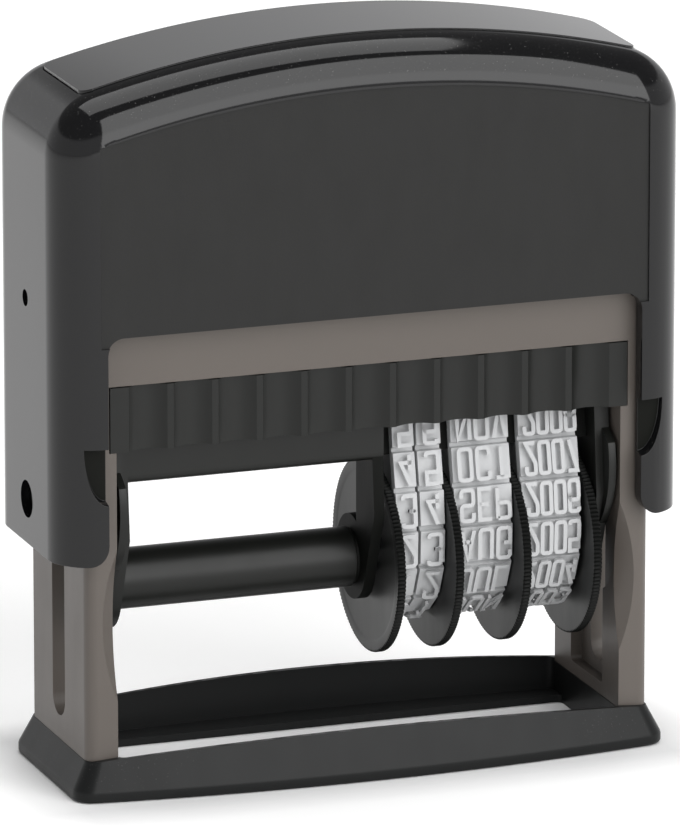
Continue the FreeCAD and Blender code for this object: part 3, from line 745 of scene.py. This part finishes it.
@dataclass
class Chassis:
    """Inner frame, foot ring and return spring."""

    outer: float = 31.6
    inner: float = 28.2
    half_depth: float = 9.6
    foot: float = 4.1
    top: float = 50.6
    shoulder: float = 5.2
    corner: float = 1.3
    beam: float = 44.7
    floor: float = 46.3
    ledge: float = 29.0
    shelf: float = 37.55
    slot_low: float = 6.7
    slot_half: float = 2.07
    slot_top: float = 33.22
    scoop: float = 1.17
    scoop_low: float = 10.5
    scoop_high: float = 27.0
    channel_half: float = 4.7
    channel_depth: float = 1.3
    channel_low: float = 5.5
    channel_high: float = 36.1
    lug: float = 0.7
    lug_y: float = 2.95
    lug_tip: float = 27.1
    boss: float = 2.9
    boss_height: float = 3.0
    base_half: float = 33.15
    base_depth: float = 13.45
    bow: float = 2.5
    base_corner: float = 2.2
    base_height: float = 5.45
    arch: float = 1.43
    skirt: float = 1.1
    end_slope: float = 2.2
    front_slope: float = 1.25
    opening_depth: float = 11.5
    opening_bow: float = 1.4
    opening_corner: float = 0.8
    ledge_depth: float = 7.55
    ledge_height: float = 0.8
    fit: float = 0.05
    spring_radius: float = 4.2
    wire: float = 0.8
    spring_turns: int = 8
    spring_top: float = 75.67

    def _scoop(self, end: int, side: int) -> Workpiece:
        """Cutter of the long hollow down a post's inner edge.

        Args:
            end: -1 for the left post, 1 for the right one.
            side: -1 for the front edge, 1 for the rear one.

        Returns:
            The cutter.
        """
        half = (self.scoop_high - self.scoop_low) / 2
        radius = (half ** 2 + self.scoop ** 2) / (2 * self.scoop)
        middle = Vector((end * self.inner, side * self.half_depth, self.scoop_low + half))
        outward = Vector((-end, side, 0)).normalized()
        along = Vector((end, side, 0)).normalized() * self.half_depth
        rings = []
        for way in (-1, 1):
            ring = []
            for depth, height in arc((radius - self.scoop, 0), radius, 155, 205, 48):
                ring.append(tuple(middle + outward * depth + along * way + Vector((0, 0, height))))
            rings.append(ring)
        return Workpiece.skin(rings)

    def _channel(self, end: int) -> Workpiece:
        """Recess in a post's inner face, with its round bay."""
        left, right = sorted((end * (self.inner - 1), end * (self.inner + self.channel_depth)))
        half = self.channel_half
        low, high = (left, -half, self.channel_low), (right, half, self.channel_high)
        channel = Workpiece.block(low, high, 0.6, "x", 4)
        return channel.join(bar(half, left, right, PIVOT - TRAVEL / 2, -self.lug_y))

    def _frame(self) -> Workpiece:
        """Two slotted posts, the beam that joins them and the lugs."""
        depth = self.half_depth + 2
        low, high = (-self.outer, -self.half_depth, self.foot), (self.outer, self.half_depth, self.top)
        block = Workpiece.block(low, high, self.corner, "z", 6)
        crown = Workpiece.block(
            (-self.outer, -depth, self.foot - 12), (self.outer, depth, self.top), self.shoulder, "y", 12
        )
        block.keep(crown)
        tools = [
            Workpiece.block((-self.inner, -depth, 0), (self.inner, depth, self.shelf + 0.05)),
            Workpiece.block((-self.ledge, -depth, self.shelf), (self.ledge, depth, self.beam)),
            round_bar(self.spring_radius + 1.3, self.floor, self.top + 2),
        ]
        for end in (-1, 1):
            left, right = sorted((end * (self.inner - 1), end * (self.outer + 1)))
            low, high = (left, -self.slot_half, self.slot_low), (right, self.slot_half, self.slot_top)
            tools.append(Workpiece.block(low, high, self.slot_half - 0.01, "x", 10))
            tools.append(self._channel(end))
            tools += [self._scoop(end, side) for side in (-1, 1)]
            left, right = sorted((end * 6.9, end * 24.6))
            tools.append(Workpiece.block(
                (left, -7.8, self.floor), (right, 7.8, self.top + 1), self.corner, "z", 5
            ))
        block.cut(*tools)
        extras = [round_bar(self.boss, self.floor - 0.5, self.floor + self.boss_height)]
        for end in (-1, 1):
            left, right = sorted((end * self.lug_tip, end * (self.outer - 1.7)))
            extras.append(bar(self.lug, left, right, PIVOT - TRAVEL / 2, self.lug_y, 0.12))
        return block.join(*extras).soften(0.25, 3, 42)

    def _plan(self, half: float, depth: float, bow: float, radius: float) -> list[Point]:
        """Rectangle in plan with bowed long sides and rounded corners.

        Args:
            half: half its length.
            depth: half its depth in the middle.
            bow: how much less that is at the ends.
            radius: of the corners.

        Returns:
            The outline, from the left round the front.
        """
        reach = (half ** 2 + bow ** 2) / (2 * bow)
        centre = reach - depth
        across = half - radius
        along = centre - math.sqrt((reach - radius) ** 2 - across ** 2)
        lean = math.degrees(math.atan2(along - centre, across))
        row = arc((-across, along), radius, -180, -180 - lean, 7)
        row += arc((0, centre), reach, -180 - lean, lean, 28)[1:-1]
        row += arc((across, along), radius, lean, 0, 7)
        return row + [(-x, -y) for x, y in row]

    def _ring(self) -> Workpiece:
        """Foot ring with a low skirt, a sloped flange, an arched top and a ledge inside."""
        steps = [(0, 0.3, 0.3), (0.1, 0.1, 0.1), (0.3, 0, 0)]
        steps += [(self.skirt - 0.12, 0, 0), (self.skirt, 0.04, 0.04)]
        for height in (self.skirt + 0.15, self.base_height + 0.4):
            share = (height - self.skirt) / (self.base_height - self.skirt)
            steps.append((height, self.end_slope * share, self.front_slope * share))
        rings = []
        for height, less, inset in steps:
            half, depth = self.base_half - less, self.base_depth - inset
            plan = self._plan(half, depth, self.bow, self.base_corner - inset / 2)
            rings.append([(x, y, height) for x, y in plan])
        radius = (self.base_half ** 2 + self.arch ** 2) / (2 * self.arch)
        crown = arc((0, self.base_height - radius), radius, 84.8, 95.2, 48) + [(-35, -1), (35, -1)]
        ring = Workpiece.skin(rings).keep(Workpiece.prism(crown, -15, 15, "y"))
        half, corner = self.inner - self.fit, self.opening_corner
        opening = self._plan(half, self.opening_depth, self.opening_bow, corner)
        ledge = self.ledge_depth
        tools = [
            Workpiece.prism(opening, self.ledge_height, self.base_height + 3, "z"),
            Workpiece.block((-half, -ledge, -1), (half, ledge, 2), corner, "z", 7),
        ]
        seat = self.half_depth + self.fit
        for end in (-1, 1):
            left, right = sorted((end * (half - 0.02), end * (self.outer + self.fit)))
            tools.append(Workpiece.block((left, -seat, self.foot), (right, seat, self.base_height + 3)))
        return ring.cut(*tools).soften(0.16, 2, 50, lambda place: place.z > 0.4)

    def _spring(self) -> Workpiece:
        """Coil spring."""
        low = self.floor + self.wire / 2 + 0.05
        high = self.spring_top
        count = self.spring_turns * 32
        climb = (high - low) / (math.tau * self.spring_turns)
        rings = []
        for index in range(count + 1):
            turn = math.tau * index / 32
            outward = Vector((math.cos(turn), math.sin(turn), 0))
            heading = Vector((-outward.y * self.spring_radius, outward.x * self.spring_radius, climb))
            upward = heading.normalized().cross(outward)
            middle = outward * self.spring_radius + Vector((0, 0, low + (high - low) * index / count))
            section = circle(self.wire / 2, 14)
            rings.append([tuple(middle + outward * out + upward * up) for out, up in section])
        return Workpiece.skin(rings)

    def build(self) -> None:
        """Makes the frame, the foot ring and the spring."""
        self._frame().put("post_frame", "base", FRAME_TAUPE, "frame")
        self._ring().put("foot_ring", "base", BASE_CHARCOAL, "base_ring", sharp=28)
        spring = self._spring().put("coil_spring", "base", STEEL, "return_spring")
        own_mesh(spring)


@dataclass
class Cartridge:
    """Ink drawer with its fluted front and the pad under its roof."""

    half_width: float = 28.9
    low: float = 37.6
    high: float = 44.6
    front: float = -9.7
    rear: float = 9.4
    side: float = 0.85
    roof: float = 1.2
    lip: float = 1.9
    flutes: int = 11
    margin: float = 1.7
    depth: float = 0.8
    land: float = 0.7

    def _front(self) -> Workpiece:
        """Front wall with its row of hollow flutes."""
        span = (self.half_width - self.margin) * 2
        pitch = span / self.flutes
        half = (pitch - self.land) / 2
        radius = (half ** 2 + self.depth ** 2) / (2 * self.depth)
        reach = math.degrees(math.asin(half / radius))
        width, back = self.half_width, self.front + self.lip
        outline = [(-width, self.front)]
        for index in range(self.flutes):
            middle = (-span / 2 + pitch * (index + 0.5), self.front + self.depth - radius)
            outline += arc(middle, radius, 90 + reach, 90 - reach, 10)
        outline += [(width, self.front), (width, back), (-width, back)]
        return Workpiece.prism(outline, self.low, self.high, "z")

    def build(self) -> None:
        """Makes the drawer and dresses the pad."""
        tray = self._front()
        width, front = self.half_width, self.front + 1
        under = self.high - self.roof
        parts = [Workpiece.block((-width, front, under), (width, self.rear, self.high))]
        for end in (-1, 1):
            left, right = sorted((end * width, end * (width - self.side)))
            parts.append(Workpiece.block((left, front, self.low), (right, self.rear, self.high)))
        rim = Workpiece.block((-26.8, -8.1, 42.4), (26.8, 8.1, 44.0))
        rim.cut(Workpiece.block((-26.05, -7.35, 40), (26.05, 7.35, 43.4)))
        tray.join(*parts, rim).cut(Workpiece.block((-26.05, -7.35, 40), (26.05, 7.35, 43.4)))
        tray.soften(0.14, 2, 38).put("ink_drawer", "cartridge", BLACK_SATIN, "cartridge_tray")
        carried_over("ink_pad", FELT)


@dataclass
class Yoke:
    """Printing unit without its date wheels."""

    arm_outer: float = 27.8
    thickness: float = 1.6
    top: float = 38.2
    top_half: float = 7.0
    widest_half: float = 7.9
    widest_drop: float = 3.4
    lobe: float = 5.1
    cam: float = 9.5
    cam_thickness: float = 0.8
    cam_rise: float = 4.5
    cam_top_half: float = 6.4
    cam_bevel: float = 0.66
    shrink: float = 0.5
    middle_left: float = 1.2
    middle_right: float = 2.4
    middle_rear: float = -1.7
    platform: float = 33.25
    pin: float = 1.95
    pin_tip: float = 34.0
    axle: float = 1.5
    tube: float = 3.25
    text_left: float = -25.5
    text_right: float = 0.5
    text_half: float = 4.5
    groove_half: float = 0.85
    groove_depth: float = 0.75
    groove_out: float = 2.95

    def _plate_outline(self, shrink: float) -> list[Point]:
        """Arm seen from the side, as (y, z)."""
        radius = self.lobe - shrink
        widest = (self.widest_half - shrink, PIVOT - self.widest_drop)
        away = (widest[0], widest[1] - AXLE)
        bearing = math.degrees(math.atan2(away[1], away[0]) - math.acos(radius / math.hypot(*away)))
        lobe = arc((0, AXLE), radius, bearing, -180 - bearing, 28)
        top = self.top_half - shrink
        corner = arc((top - 1, self.top - 1), 1, 90, 0, 6)
        mirrored = [(-y, z) for y, z in reversed(corner)]
        return mirrored + corner + [widest] + lobe + [(-widest[0], widest[1])]

    def _cam(self, left: float, right: float) -> Workpiece:
        """Round flange about the pivot, bevelled at the top."""
        reach = self.cam + 1
        shoulder = PIVOT + self.cam_rise - (reach - self.cam_top_half) * self.cam_bevel
        side = [(reach, PIVOT - reach), (reach, shoulder), (self.cam_top_half, PIVOT + self.cam_rise)]
        outline = side + [(-y, z) for y, z in reversed(side)]
        flange = Workpiece.turned([(left, self.cam), (right, self.cam)], (0, PIVOT), 128, False)
        return flange.keep(Workpiece.prism(outline, left - 1, right + 1, "x"))

    def _outer_arm(self, end: int) -> Workpiece:
        """Left (-1) or right (1) arm with its flange, bores and groove."""
        outer = self.arm_outer
        left, right = sorted((end * (outer - self.thickness), end * outer))
        flange = self._cam(*sorted((end * (outer - self.cam_thickness), end * outer)))
        arm = Workpiece.prism(self._plate_outline(0), left, right, "x").join(flange)
        holes = ((self.axle, AXLE), (self.pin, PIVOT))
        bores = [bar(radius + BORE_PLAY, left - 1, right + 1, height) for radius, height in holes]
        return arm.cut(*bores, self._groove(end))

    def _middle_arm(self) -> Workpiece:
        """Narrow arm in front of the wheels' side, round at the axle."""
        left, right, lobe = self.middle_left, self.middle_right, self.lobe - self.shrink
        arm = Workpiece.prism(self._plate_outline(self.shrink), left, right, "x")
        high = (right + 1, self.middle_rear, self.top - self.shrink)
        arm.keep(Workpiece.block((left - 1, -12, 10), high))
        return arm.join(Workpiece.turned([(left, lobe), (right, lobe)], (0, AXLE), 96, False))

    def _groove(self, end: int) -> Workpiece:
        """Arch-shaped groove that the frame's lug follows."""
        sides: list[list[Point]] = [[], []]
        steps = 24
        for index in range(-1, steps + 2):
            angle = math.pi * min(max(index, 0), steps) / steps
            spots = []
            for step in (-0.01, 0.0, 0.01):
                turn = angle + step
                drop = -TRAVEL / 2 + TRAVEL * turn / math.pi
                across, up = math.cos(turn), math.sin(turn)
                out = self.groove_out
                spots.append(Vector((out * across - drop * up, out * up + drop * across, 0)))
            run = (spots[2] - spots[0]).normalized()
            beyond = (index > steps) - (index < 0)
            spot = spots[1] + run * (self.groove_half * 0.8 * beyond)
            reach = self.groove_half * (0.55 if beyond else 1)
            normal = Vector((-run.y, run.x, 0)) * reach
            for row, side in zip(sides, (-1, 1)):
                row.append((spot.x + side * normal.x, PIVOT + spot.y + side * normal.y))
        outer = end * (self.arm_outer + 1)
        inner = end * (self.arm_outer - self.groove_depth)
        return Workpiece.prism(sides[0] + sides[1][::-1], min(inner, outer), max(inner, outer), "x")

    def build(self) -> None:
        """Makes the yoke, its pins, axle and tube and the text plate."""
        inner = self.arm_outer - self.thickness
        low = (-inner - 0.8, -self.top_half, self.platform)
        high = (self.middle_right, self.top_half, self.top)
        yoke = self._outer_arm(-1).join(self._middle_arm(), Workpiece.block(low, high, 1.0, "x", 6))
        bore = bar(self.axle + BORE_PLAY, self.middle_left - 1, self.middle_right + 1, AXLE)
        yoke.cut(bore).soften(0.22, 3, 38)
        # The middle arm's faces take the second finish, painted shade.
        yoke.put(
            "yoke", "rotor", (BLACK_SATIN, BRIDGE_BLACK_AND_ARM_SHADE), "rotor_carrier",
            paint=lambda piece: int(piece.center.x > 0.9 and piece.center.z < self.platform - 0.4),
        )
        self._outer_arm(1).soften(0.2, 2, 38).put("cheek", "rotor", BLACK_SATIN, "end_cheek")
        for end, name in ((-1, "left"), (1, "right")):
            pin = bar(self.pin, *sorted((end * inner, end * self.pin_tip)), PIVOT, 0, 0.3)
            pin.put(f"pin_{name}", "rotor", BLACK_SATIN, f"pivot_pin_{name}")
        axle = bar(self.axle, -self.arm_outer, self.arm_outer, AXLE, 0, 0.3)
        axle.put("axle", "rotor", STEEL, "date_axle")
        self._tube(inner).put("tube", "rotor", BLACK_SATIN, "spacer_tube")
        self._plate().put("type_plate", "rotor", PLATE_RUBBER, "text_plate")
        carried_over("text_plate_base", FOAM)
        carried_over("date_bridge", BRIDGE_BLACK_AND_ARM_SHADE)

    def _tube(self, inner: float) -> Workpiece:
        """Spacer tube with a low collar at each end."""
        left, right, radius, bore = -inner, self.middle_left, self.tube, self.axle + BORE_PLAY
        half = [(0.0, radius - 0.3), (0.25, radius - 0.3), (0.3, radius - 0.12), (0.42, radius)]
        profile = [(left, bore)] + [(left + step, size) for step, size in half]
        profile += [(right - step, size) for step, size in reversed(half)] + [(right, bore)]
        return Workpiece.turned(profile, (0, AXLE), 96)

    def _plate(self) -> Workpiece:
        """Rubber plate with a plain raised border."""
        left, right, half = self.text_left, self.text_right, self.text_half
        plate = Workpiece.block((left, -half, PRINT_PLANE - 1.45), (right, half, PRINT_PLANE))
        low, high = (left + 0.5, 0.5 - half, PRINT_PLANE - 0.4), (right - 0.5, half - 0.5, 50)
        return plate.cut(Workpiece.block(low, high)).soften(0.06, 1, 40)


MONTHS = ("JAN", "DEC", "NOV", "OCT", "SEP", "AUG", "JUL", "JUN", "MAY", "APR", "MAR", "FEB")
YEARS = tuple(str(year) for year in range(2010, 1998, -1))
UNITS = ("8", "7", "6", "5", "4", "3", "2", "1", "0", "9")
TENS = ("7", "6", "5", "4", "3", "2", "1", "0", "9", "8")

# Pen strokes of plain date type as pairs of x and y on a grid 4 wide and 8 high.
# A star closes a stroke, and a place given twice is a sharp corner.
STROKES = {
    "0": "*02060828484642402000",
    "1": "16282820",
    "2": "060828484645000040",
    "3": "07082848464424 24444240200001",
    "4": "3838020242 3430",
    "5": "4848080805052545434240200001",
    "6": "474828080602002040424345250503",
    "7": "0808484810",
    "8": "*0608284846442404 *0204244442402000",
    "9": "010020404246482808060503234345",
    "A": "00282840 1333",
    "B": "0008 08284846442404 04244442402000",
    "C": "46482808060200204042",
    "D": "0008 0828484642402000",
    "E": "48480808000040 0434",
    "F": "4848080800 0434",
    "G": "46482808060200204042444424",
    "J": "484240200002",
    "L": "08000040",
    "M": "0008082323484840",
    "N": "000808404048",
    "O": "*02060828484642402000",
    "P": "0008 08284846442404",
    "R": "0008 08284846442404 2440",
    "S": "46482808060424444240200002",
    "T": "0848 2820",
    "U": "08020020404248",
    "V": "08202048",
    "Y": "08242448 2420",
}


@dataclass(frozen=True)
class PenStroke:
    """One stroke of a letter, bent smoothly round its inner places."""

    code: str
    steps: int = 3

    @property
    def closed(self) -> bool:
        """Whether the stroke ends where it starts."""
        return self.code.startswith("*")

    def line(self) -> list[Vector]:
        """Points along the stroke's middle, on the letter's grid."""
        digits = self.code.lstrip("*")
        places = [Vector((int(digits[at]), int(digits[at + 1]))) for at in range(0, len(digits), 2)]
        count = len(places)
        line = [] if self.closed else [places[0]]
        for index in range(count) if self.closed else range(1, count - 1):
            here = places[index]
            before, after = (places[index - 1] + here) / 2, (here + places[(index + 1) % count]) / 2
            if here in (before, after):
                line += [before, after]
                continue
            for step in range(self.steps + 1):
                share = step / self.steps
                rest = 1 - share
                line.append(before * rest ** 2 + here * (2 * share * rest) + after * share ** 2)
        if not self.closed:
            line.append(places[-1])
        kept = [line[0]]
        kept += [spot for spot, last in zip(line[1:], line) if (spot - last).length > 0.15]
        if self.closed and (kept[-1] - kept[0]).length < 0.05:
            kept.pop()
        return kept


@dataclass(frozen=True)
class Pad:
    """Flat face of a date band, which letters rise from.

    Start and end are its upper and lower corners as (y, z); letters stand on the lower
    side of the line that the band prints, so their tops point to the end.
    """

    start: Vector
    end: Vector
    middle_x: float
    sunk: float
    letter_height: float = 3.3
    foot_half: float = 0.22
    face_half: float = 0.13

    def spot(self, x: float, up: float, rise: float) -> Place:
        """Point of the pad, from its middle.

        Args:
            x: across the band.
            up: along the letter's height.
            rise: out from the pad's outer face.

        Returns:
            The point in the stamp's frame.
        """
        along = (self.end - self.start).normalized()
        outward = Vector((-along.y, along.x))
        place = (self.start + self.end) / 2 + along * up + outward * rise
        return (self.middle_x + x, place.x, place.y)

    def stroke(self, stroke: PenStroke, shift: float, width: float, lower: float) -> Workpiece:
        """A stroke as a ridge with sloped sides.

        Args:
            stroke: its line on the grid.
            shift: the letter's place across the band.
            width: the letter's width.
            lower: how far its face lies under the letter's.

        Returns:
            The ridge.
        """
        across, up = width / 4, self.letter_height / 8
        line = [Vector(((spot.x - 2) * across + shift, (spot.y - 4) * up)) for spot in stroke.line()]
        rings = []
        count = len(line)
        for index, here in enumerate(line):
            before = line[index - 1] if index or stroke.closed else here
            after = line[(index + 1) % count] if index < count - 1 or stroke.closed else here
            runs = [run.normalized() for run in (here - before, after - here) if run.length > 0]
            run = sum(runs, Vector((0, 0)))
            run = run.normalized() if run.length > 0.1 else runs[0]
            mitre = 1 / max(0.6, run.dot(runs[0]))
            across = Vector((-run.y, run.x)) * mitre
            ring = []
            for half, rise, sides in (
                (self.foot_half, -self.sunk - 0.05, (-1, 1)), (self.face_half, -lower, (1, -1))
            ):
                for side in sides:
                    place = here + across * (half * side)
                    ring.append(self.spot(place.x, place.y, rise))
            rings.append(ring)
        return Workpiece.skin(rings, stroke.closed)

    def letters(self, text: str, span: float) -> list[Workpiece]:
        """The ridges of a text spread over a span across the band."""
        pitch = min(span / len(text), 2.05)
        ridges = []
        for index, letter in enumerate(text):
            shift = (index - (len(text) - 1) / 2) * pitch
            for order, code in enumerate(STROKES[letter].split()):
                ridges.append(self.stroke(PenStroke(code), shift, pitch * 0.66, order * 0.02))
        return ridges


@dataclass
class DateWheel:
    """Thumb wheel with its drum and its padded rubber band."""

    name: str
    disc_left: float
    band_left: float
    band_right: float
    legends: tuple[str, ...]
    disc_radius: float = 10.5
    disc_thickness: float = 0.9
    drum: float = 4.9
    bore: float = 1.56
    teeth: int = 144
    knurl: float = 0.2
    dish: float = 0.12
    thickness: float = 1.45
    sunk: float = 0.34
    groove: float = 0.85
    groove_half: float = 0.2
    margin: float = 0.2
    half_depth: float = 7.53
    headings: tuple[int, ...] = (40, 82, 78, 83, 92, 115, 141)

    def corners(self) -> list[Point]:
        """Corners between the pads' outer faces, clockwise from the top, as (y, z)."""
        drop = sum(math.sin(math.radians(heading)) for heading in self.headings)
        pitch = (PRINT_PLANE - (AXLE - self.drum - 0.3 - self.thickness)) / drop
        y, z = pitch / 2, PRINT_PLANE
        half = [(y, z)]
        for heading in self.headings:
            y += pitch * math.cos(math.radians(heading))
            z -= pitch * math.sin(math.radians(heading))
            half.append((y, z))
        share = self.half_depth / max(half)[0]
        half = [(y * share, z) for y, z in half]
        return half + [(-y, z) for y, z in reversed(half)]

    def _inset(self, corners: list[Point], depth: float) -> list[Point]:
        """The closed outline moved inward."""
        moved = []
        count = len(corners)
        for index, here in enumerate(corners):
            before, after = Vector(corners[index - 1]), Vector(corners[(index + 1) % count])
            first = (Vector(here) - before).normalized()
            second = (after - Vector(here)).normalized()
            inward = Vector((first.y + second.y, -first.x - second.x)).normalized()
            reach = depth / math.sqrt((1 + first.dot(second)) / 2)
            moved.append(tuple(Vector(here) + inward * reach))
        return moved

    def _band(self) -> Workpiece:
        """Rubber band with its pads and its type."""
        corners = self.corners()
        pads, floor = self._inset(corners, self.sunk), self._inset(corners, self.groove)
        outline: list[Point] = []
        count = len(corners)
        for index in range(count):
            ahead = (index + 1) % count
            run = (Vector(corners[ahead]) - Vector(corners[index])).normalized()
            edge, bevel = run * (self.groove_half + 0.12), run * self.groove_half
            outline += [tuple(Vector(floor[index]) + bevel), tuple(Vector(pads[index]) + edge)]
            outline += [tuple(Vector(pads[ahead]) - edge), tuple(Vector(floor[ahead]) - bevel)]
        loop = Workpiece.prism(outline, self.band_left, self.band_right, "x")
        inner = self._inset(corners, self.thickness)
        loop.cut(Workpiece.prism(inner, self.band_left - 1, self.band_right + 1, "x"))
        loop.soften(0.07, 2, 40)
        middle = (self.band_left + self.band_right) / 2
        span = self.band_right - self.band_left - self.margin * 2
        ridges = []
        for index, text in enumerate(self.legends):
            start, end = corners[(count - index) % count], corners[count - 1 - index]
            ridges += Pad(Vector(start), Vector(end), middle, self.sunk).letters(text, span)
        return loop.add(*ridges)

    def _number(self, piece: bpy.types.MeshPolygon) -> int:
        """Second finish, painted shade, round the knurled rim, first elsewhere."""
        out = math.hypot(piece.center.y, piece.center.z - AXLE)
        return 1 if out > self.disc_radius - 0.6 and abs(piece.normal.x) < 0.8 else 0

    def _disc_ring(self, x: float, radius: float) -> list[Place]:
        """Ring of the disc at a place along the axle, toothed near its rim."""
        ring = []
        sides = self.teeth * 4
        toothed = radius > self.disc_radius - 1
        for index in range(sides):
            depth = self.knurl * (0, 0.35, 1, 0.35)[index % 4] if toothed else 0.0
            turn, reach = math.tau * index / sides, radius - depth
            ring.append((x, reach * math.cos(turn), AXLE + reach * math.sin(turn)))
        return ring

    def _wheel(self) -> Workpiece:
        """Knurled disc, slightly dished inside its rim, and drum in one piece."""
        left, right = self.disc_left, self.disc_left + self.disc_thickness
        rim, soft, dish, way = self.disc_radius, 0.1, self.dish, 1
        end = self.band_right + 0.07
        if self.band_left < self.disc_left:
            left, right, way, end = right, left, -1, self.band_left - 0.07
        face = [(0.0, rim - 1.0), (0.0, rim - soft), (soft, rim)]
        rise = [(dish, self.bore), (dish, rim - 1.5), (dish * 0.6, rim - 1.25)]
        profile = [(left + way * step, size) for step, size in rise + face]
        profile += [(right - way * step, size) for step, size in reversed(face)]
        profile += [(right, self.drum), (end - way * soft, self.drum), (end, self.drum - soft)]
        profile.append((end, self.bore))
        return Workpiece.skin([self._disc_ring(x, radius) for x, radius in profile], True)

    def build(self) -> None:
        """Makes the wheel and its band."""
        self._wheel().put(
            f"thumb_{self.name}", f"{self.name}_wheel", (WHEEL_BLACK, WHEEL_RIM_SHADE), f"wheel_{self.name}",
            paint=self._number, sharp=40,
        )
        self._band().put(f"belt_{self.name}", "rotor", BAND_RUBBER, f"band_{self.name}")


@dataclass
class Studio:
    """Camera, floor and light."""

    azimuth: float = 19.64
    elevation: float = 15.11
    distance: float = 1.1
    lens: float = 446.1
    target: Place = (0.0, 0.0, 0.03637)
    floor_size: float = 8.0
    glow_half: Point = (0.033, 0.0135)
    glow_rise: float = 0.007
    sky: tuple[Point, ...] = ((0.0, 0.72), (0.33, 0.72), (0.40, 0.18), (1.0, 0.18))

    def _aim(self, piece: bpy.types.Object, place: Vector, target: Vector) -> None:
        """Puts an object at a place and turns it to a target."""
        piece.location = place
        piece.rotation_euler = (target - place).to_track_quat("-Z", "Y").to_euler()
        bpy.context.scene.collection.objects.link(piece)

    def _camera(self) -> None:
        """Camera at the photograph's angle."""
        turn, lift = math.radians(self.azimuth), math.radians(self.elevation)
        level = math.cos(lift)
        back = Vector((-math.sin(turn) * level, -math.cos(turn) * level, math.sin(lift)))
        data = bpy.data.cameras.new("camera")
        data.lens = self.lens
        data.sensor_width = 36.0
        data.clip_start = 0.01
        camera = bpy.data.objects.new("camera", data)
        target = Vector(self.target)
        self._aim(camera, target + back * self.distance, target)
        bpy.context.scene.camera = camera

    def _lamp(self, name: str, place: Place, size: Point, power: float) -> None:
        """Soft box turned to the stamp."""
        data = bpy.data.lights.new(name, "AREA")
        data.shape = "RECTANGLE"
        data.size, data.size_y = size
        data.energy = power
        self._aim(bpy.data.objects.new(name, data), Vector(place), Vector((0, 0, 0.04)))

    def _world(self) -> None:
        """Bright near the horizon and darker above it."""
        world = bpy.data.worlds.new("studio")
        world.use_nodes = True
        bpy.context.scene.world = world
        board = Board(world.node_tree)
        way = board.node("ShaderNodeTexCoord", None, None, "Generated")
        height = board.node("ShaderNodeSeparateXYZ", None, {0: way}, 2)
        grey = [(stop, (level, level, level * 1.01, 1.0)) for stop, level in self.sky]
        shade = board.node("ShaderNodeValToRGB", {"stops": grey}, {0: height})
        glow = board.node("ShaderNodeBackground", None, {"Color": shade, "Strength": 1.0})
        board.node("ShaderNodeOutputWorld", None, {"Surface": glow})

    def _floor(self) -> None:
        """Pale floor with a painted glow, faded out to painted shade round the stamp's base."""
        form = bmesh.new()
        bmesh.ops.create_grid(form, x_segments=8, y_segments=8, size=self.floor_size / 2)
        mesh = bpy.data.meshes.new("floor")
        form.to_mesh(mesh)
        form.free()
        paper = bpy.data.materials.new("floor paper")
        paper.use_nodes = True
        board = Board(paper.node_tree)
        place = board.node("ShaderNodeTexCoord", output="Object")
        away: Signal | float = 0.0
        # Floor glow rises from nought at the base's outline: painted light away, painted shade round it.
        for axis, half in ((0, self.glow_half[0]), (1, self.glow_half[1])):
            beyond = abs(board.node("ShaderNodeSeparateXYZ", None, {0: place}, axis)) - half
            away = away + (beyond + abs(beyond)) * (0.5 / self.glow_rise)
        stops = [(0.0, (0.0, 0.0, 0.0, 1.0)), (1.0, (1.0, 0.995, 0.985, 1.0))]
        glow = board.node("ShaderNodeValToRGB", {"stops": stops}, {0: away})
        values = {
            "Base Color": (0.88, 0.88, 0.88, 1.0),
            "Roughness": 0.9,
            "Specular IOR Level": 0.1,
            "Emission Color": glow,
            "Emission Strength": 0.28,
        }
        shader = board.node("ShaderNodeBsdfPrincipled", None, values)
        board.node("ShaderNodeOutputMaterial", None, {"Surface": shader})
        mesh.materials.append(paper)
        floor = bpy.data.objects.new("floor", mesh)
        floor.location.z = -0.00005
        bpy.context.scene.collection.objects.link(floor)

    def build(self) -> None:
        """Sets the studio up."""
        self._camera()
        self._floor()
        self._world()
        self._lamp("front wall", (0.46, -1.27, 0.85), (1.5, 1.7), 26.0)
        self._lamp("top box", (0.0, 0.28, 1.9), (1.8, 1.5), 20.0)
        view = bpy.context.scene.view_settings
        view.view_transform = "Standard"
        view.look = "None"


def main() -> None:
    """Builds the stamp and its studio."""
    logging.basicConfig(level=logging.INFO, format="%(message)s")
    Cap().build()
    Chassis().build()
    Cartridge().build()
    Yoke().build()
    wheels = (
        DateWheel("day_tens", 2.85, 3.85, 6.28, TENS),
        DateWheel("day_units", 9.42, 6.56, 9.3, UNITS),
        DateWheel("month", 17.07, 10.42, 16.95, MONTHS),
        DateWheel("year", 25.05, 18.07, 24.72, YEARS),
    )
    for wheel in wheels:
        wheel.build()
    Studio().build()


if __name__ == "__main__":
    main()
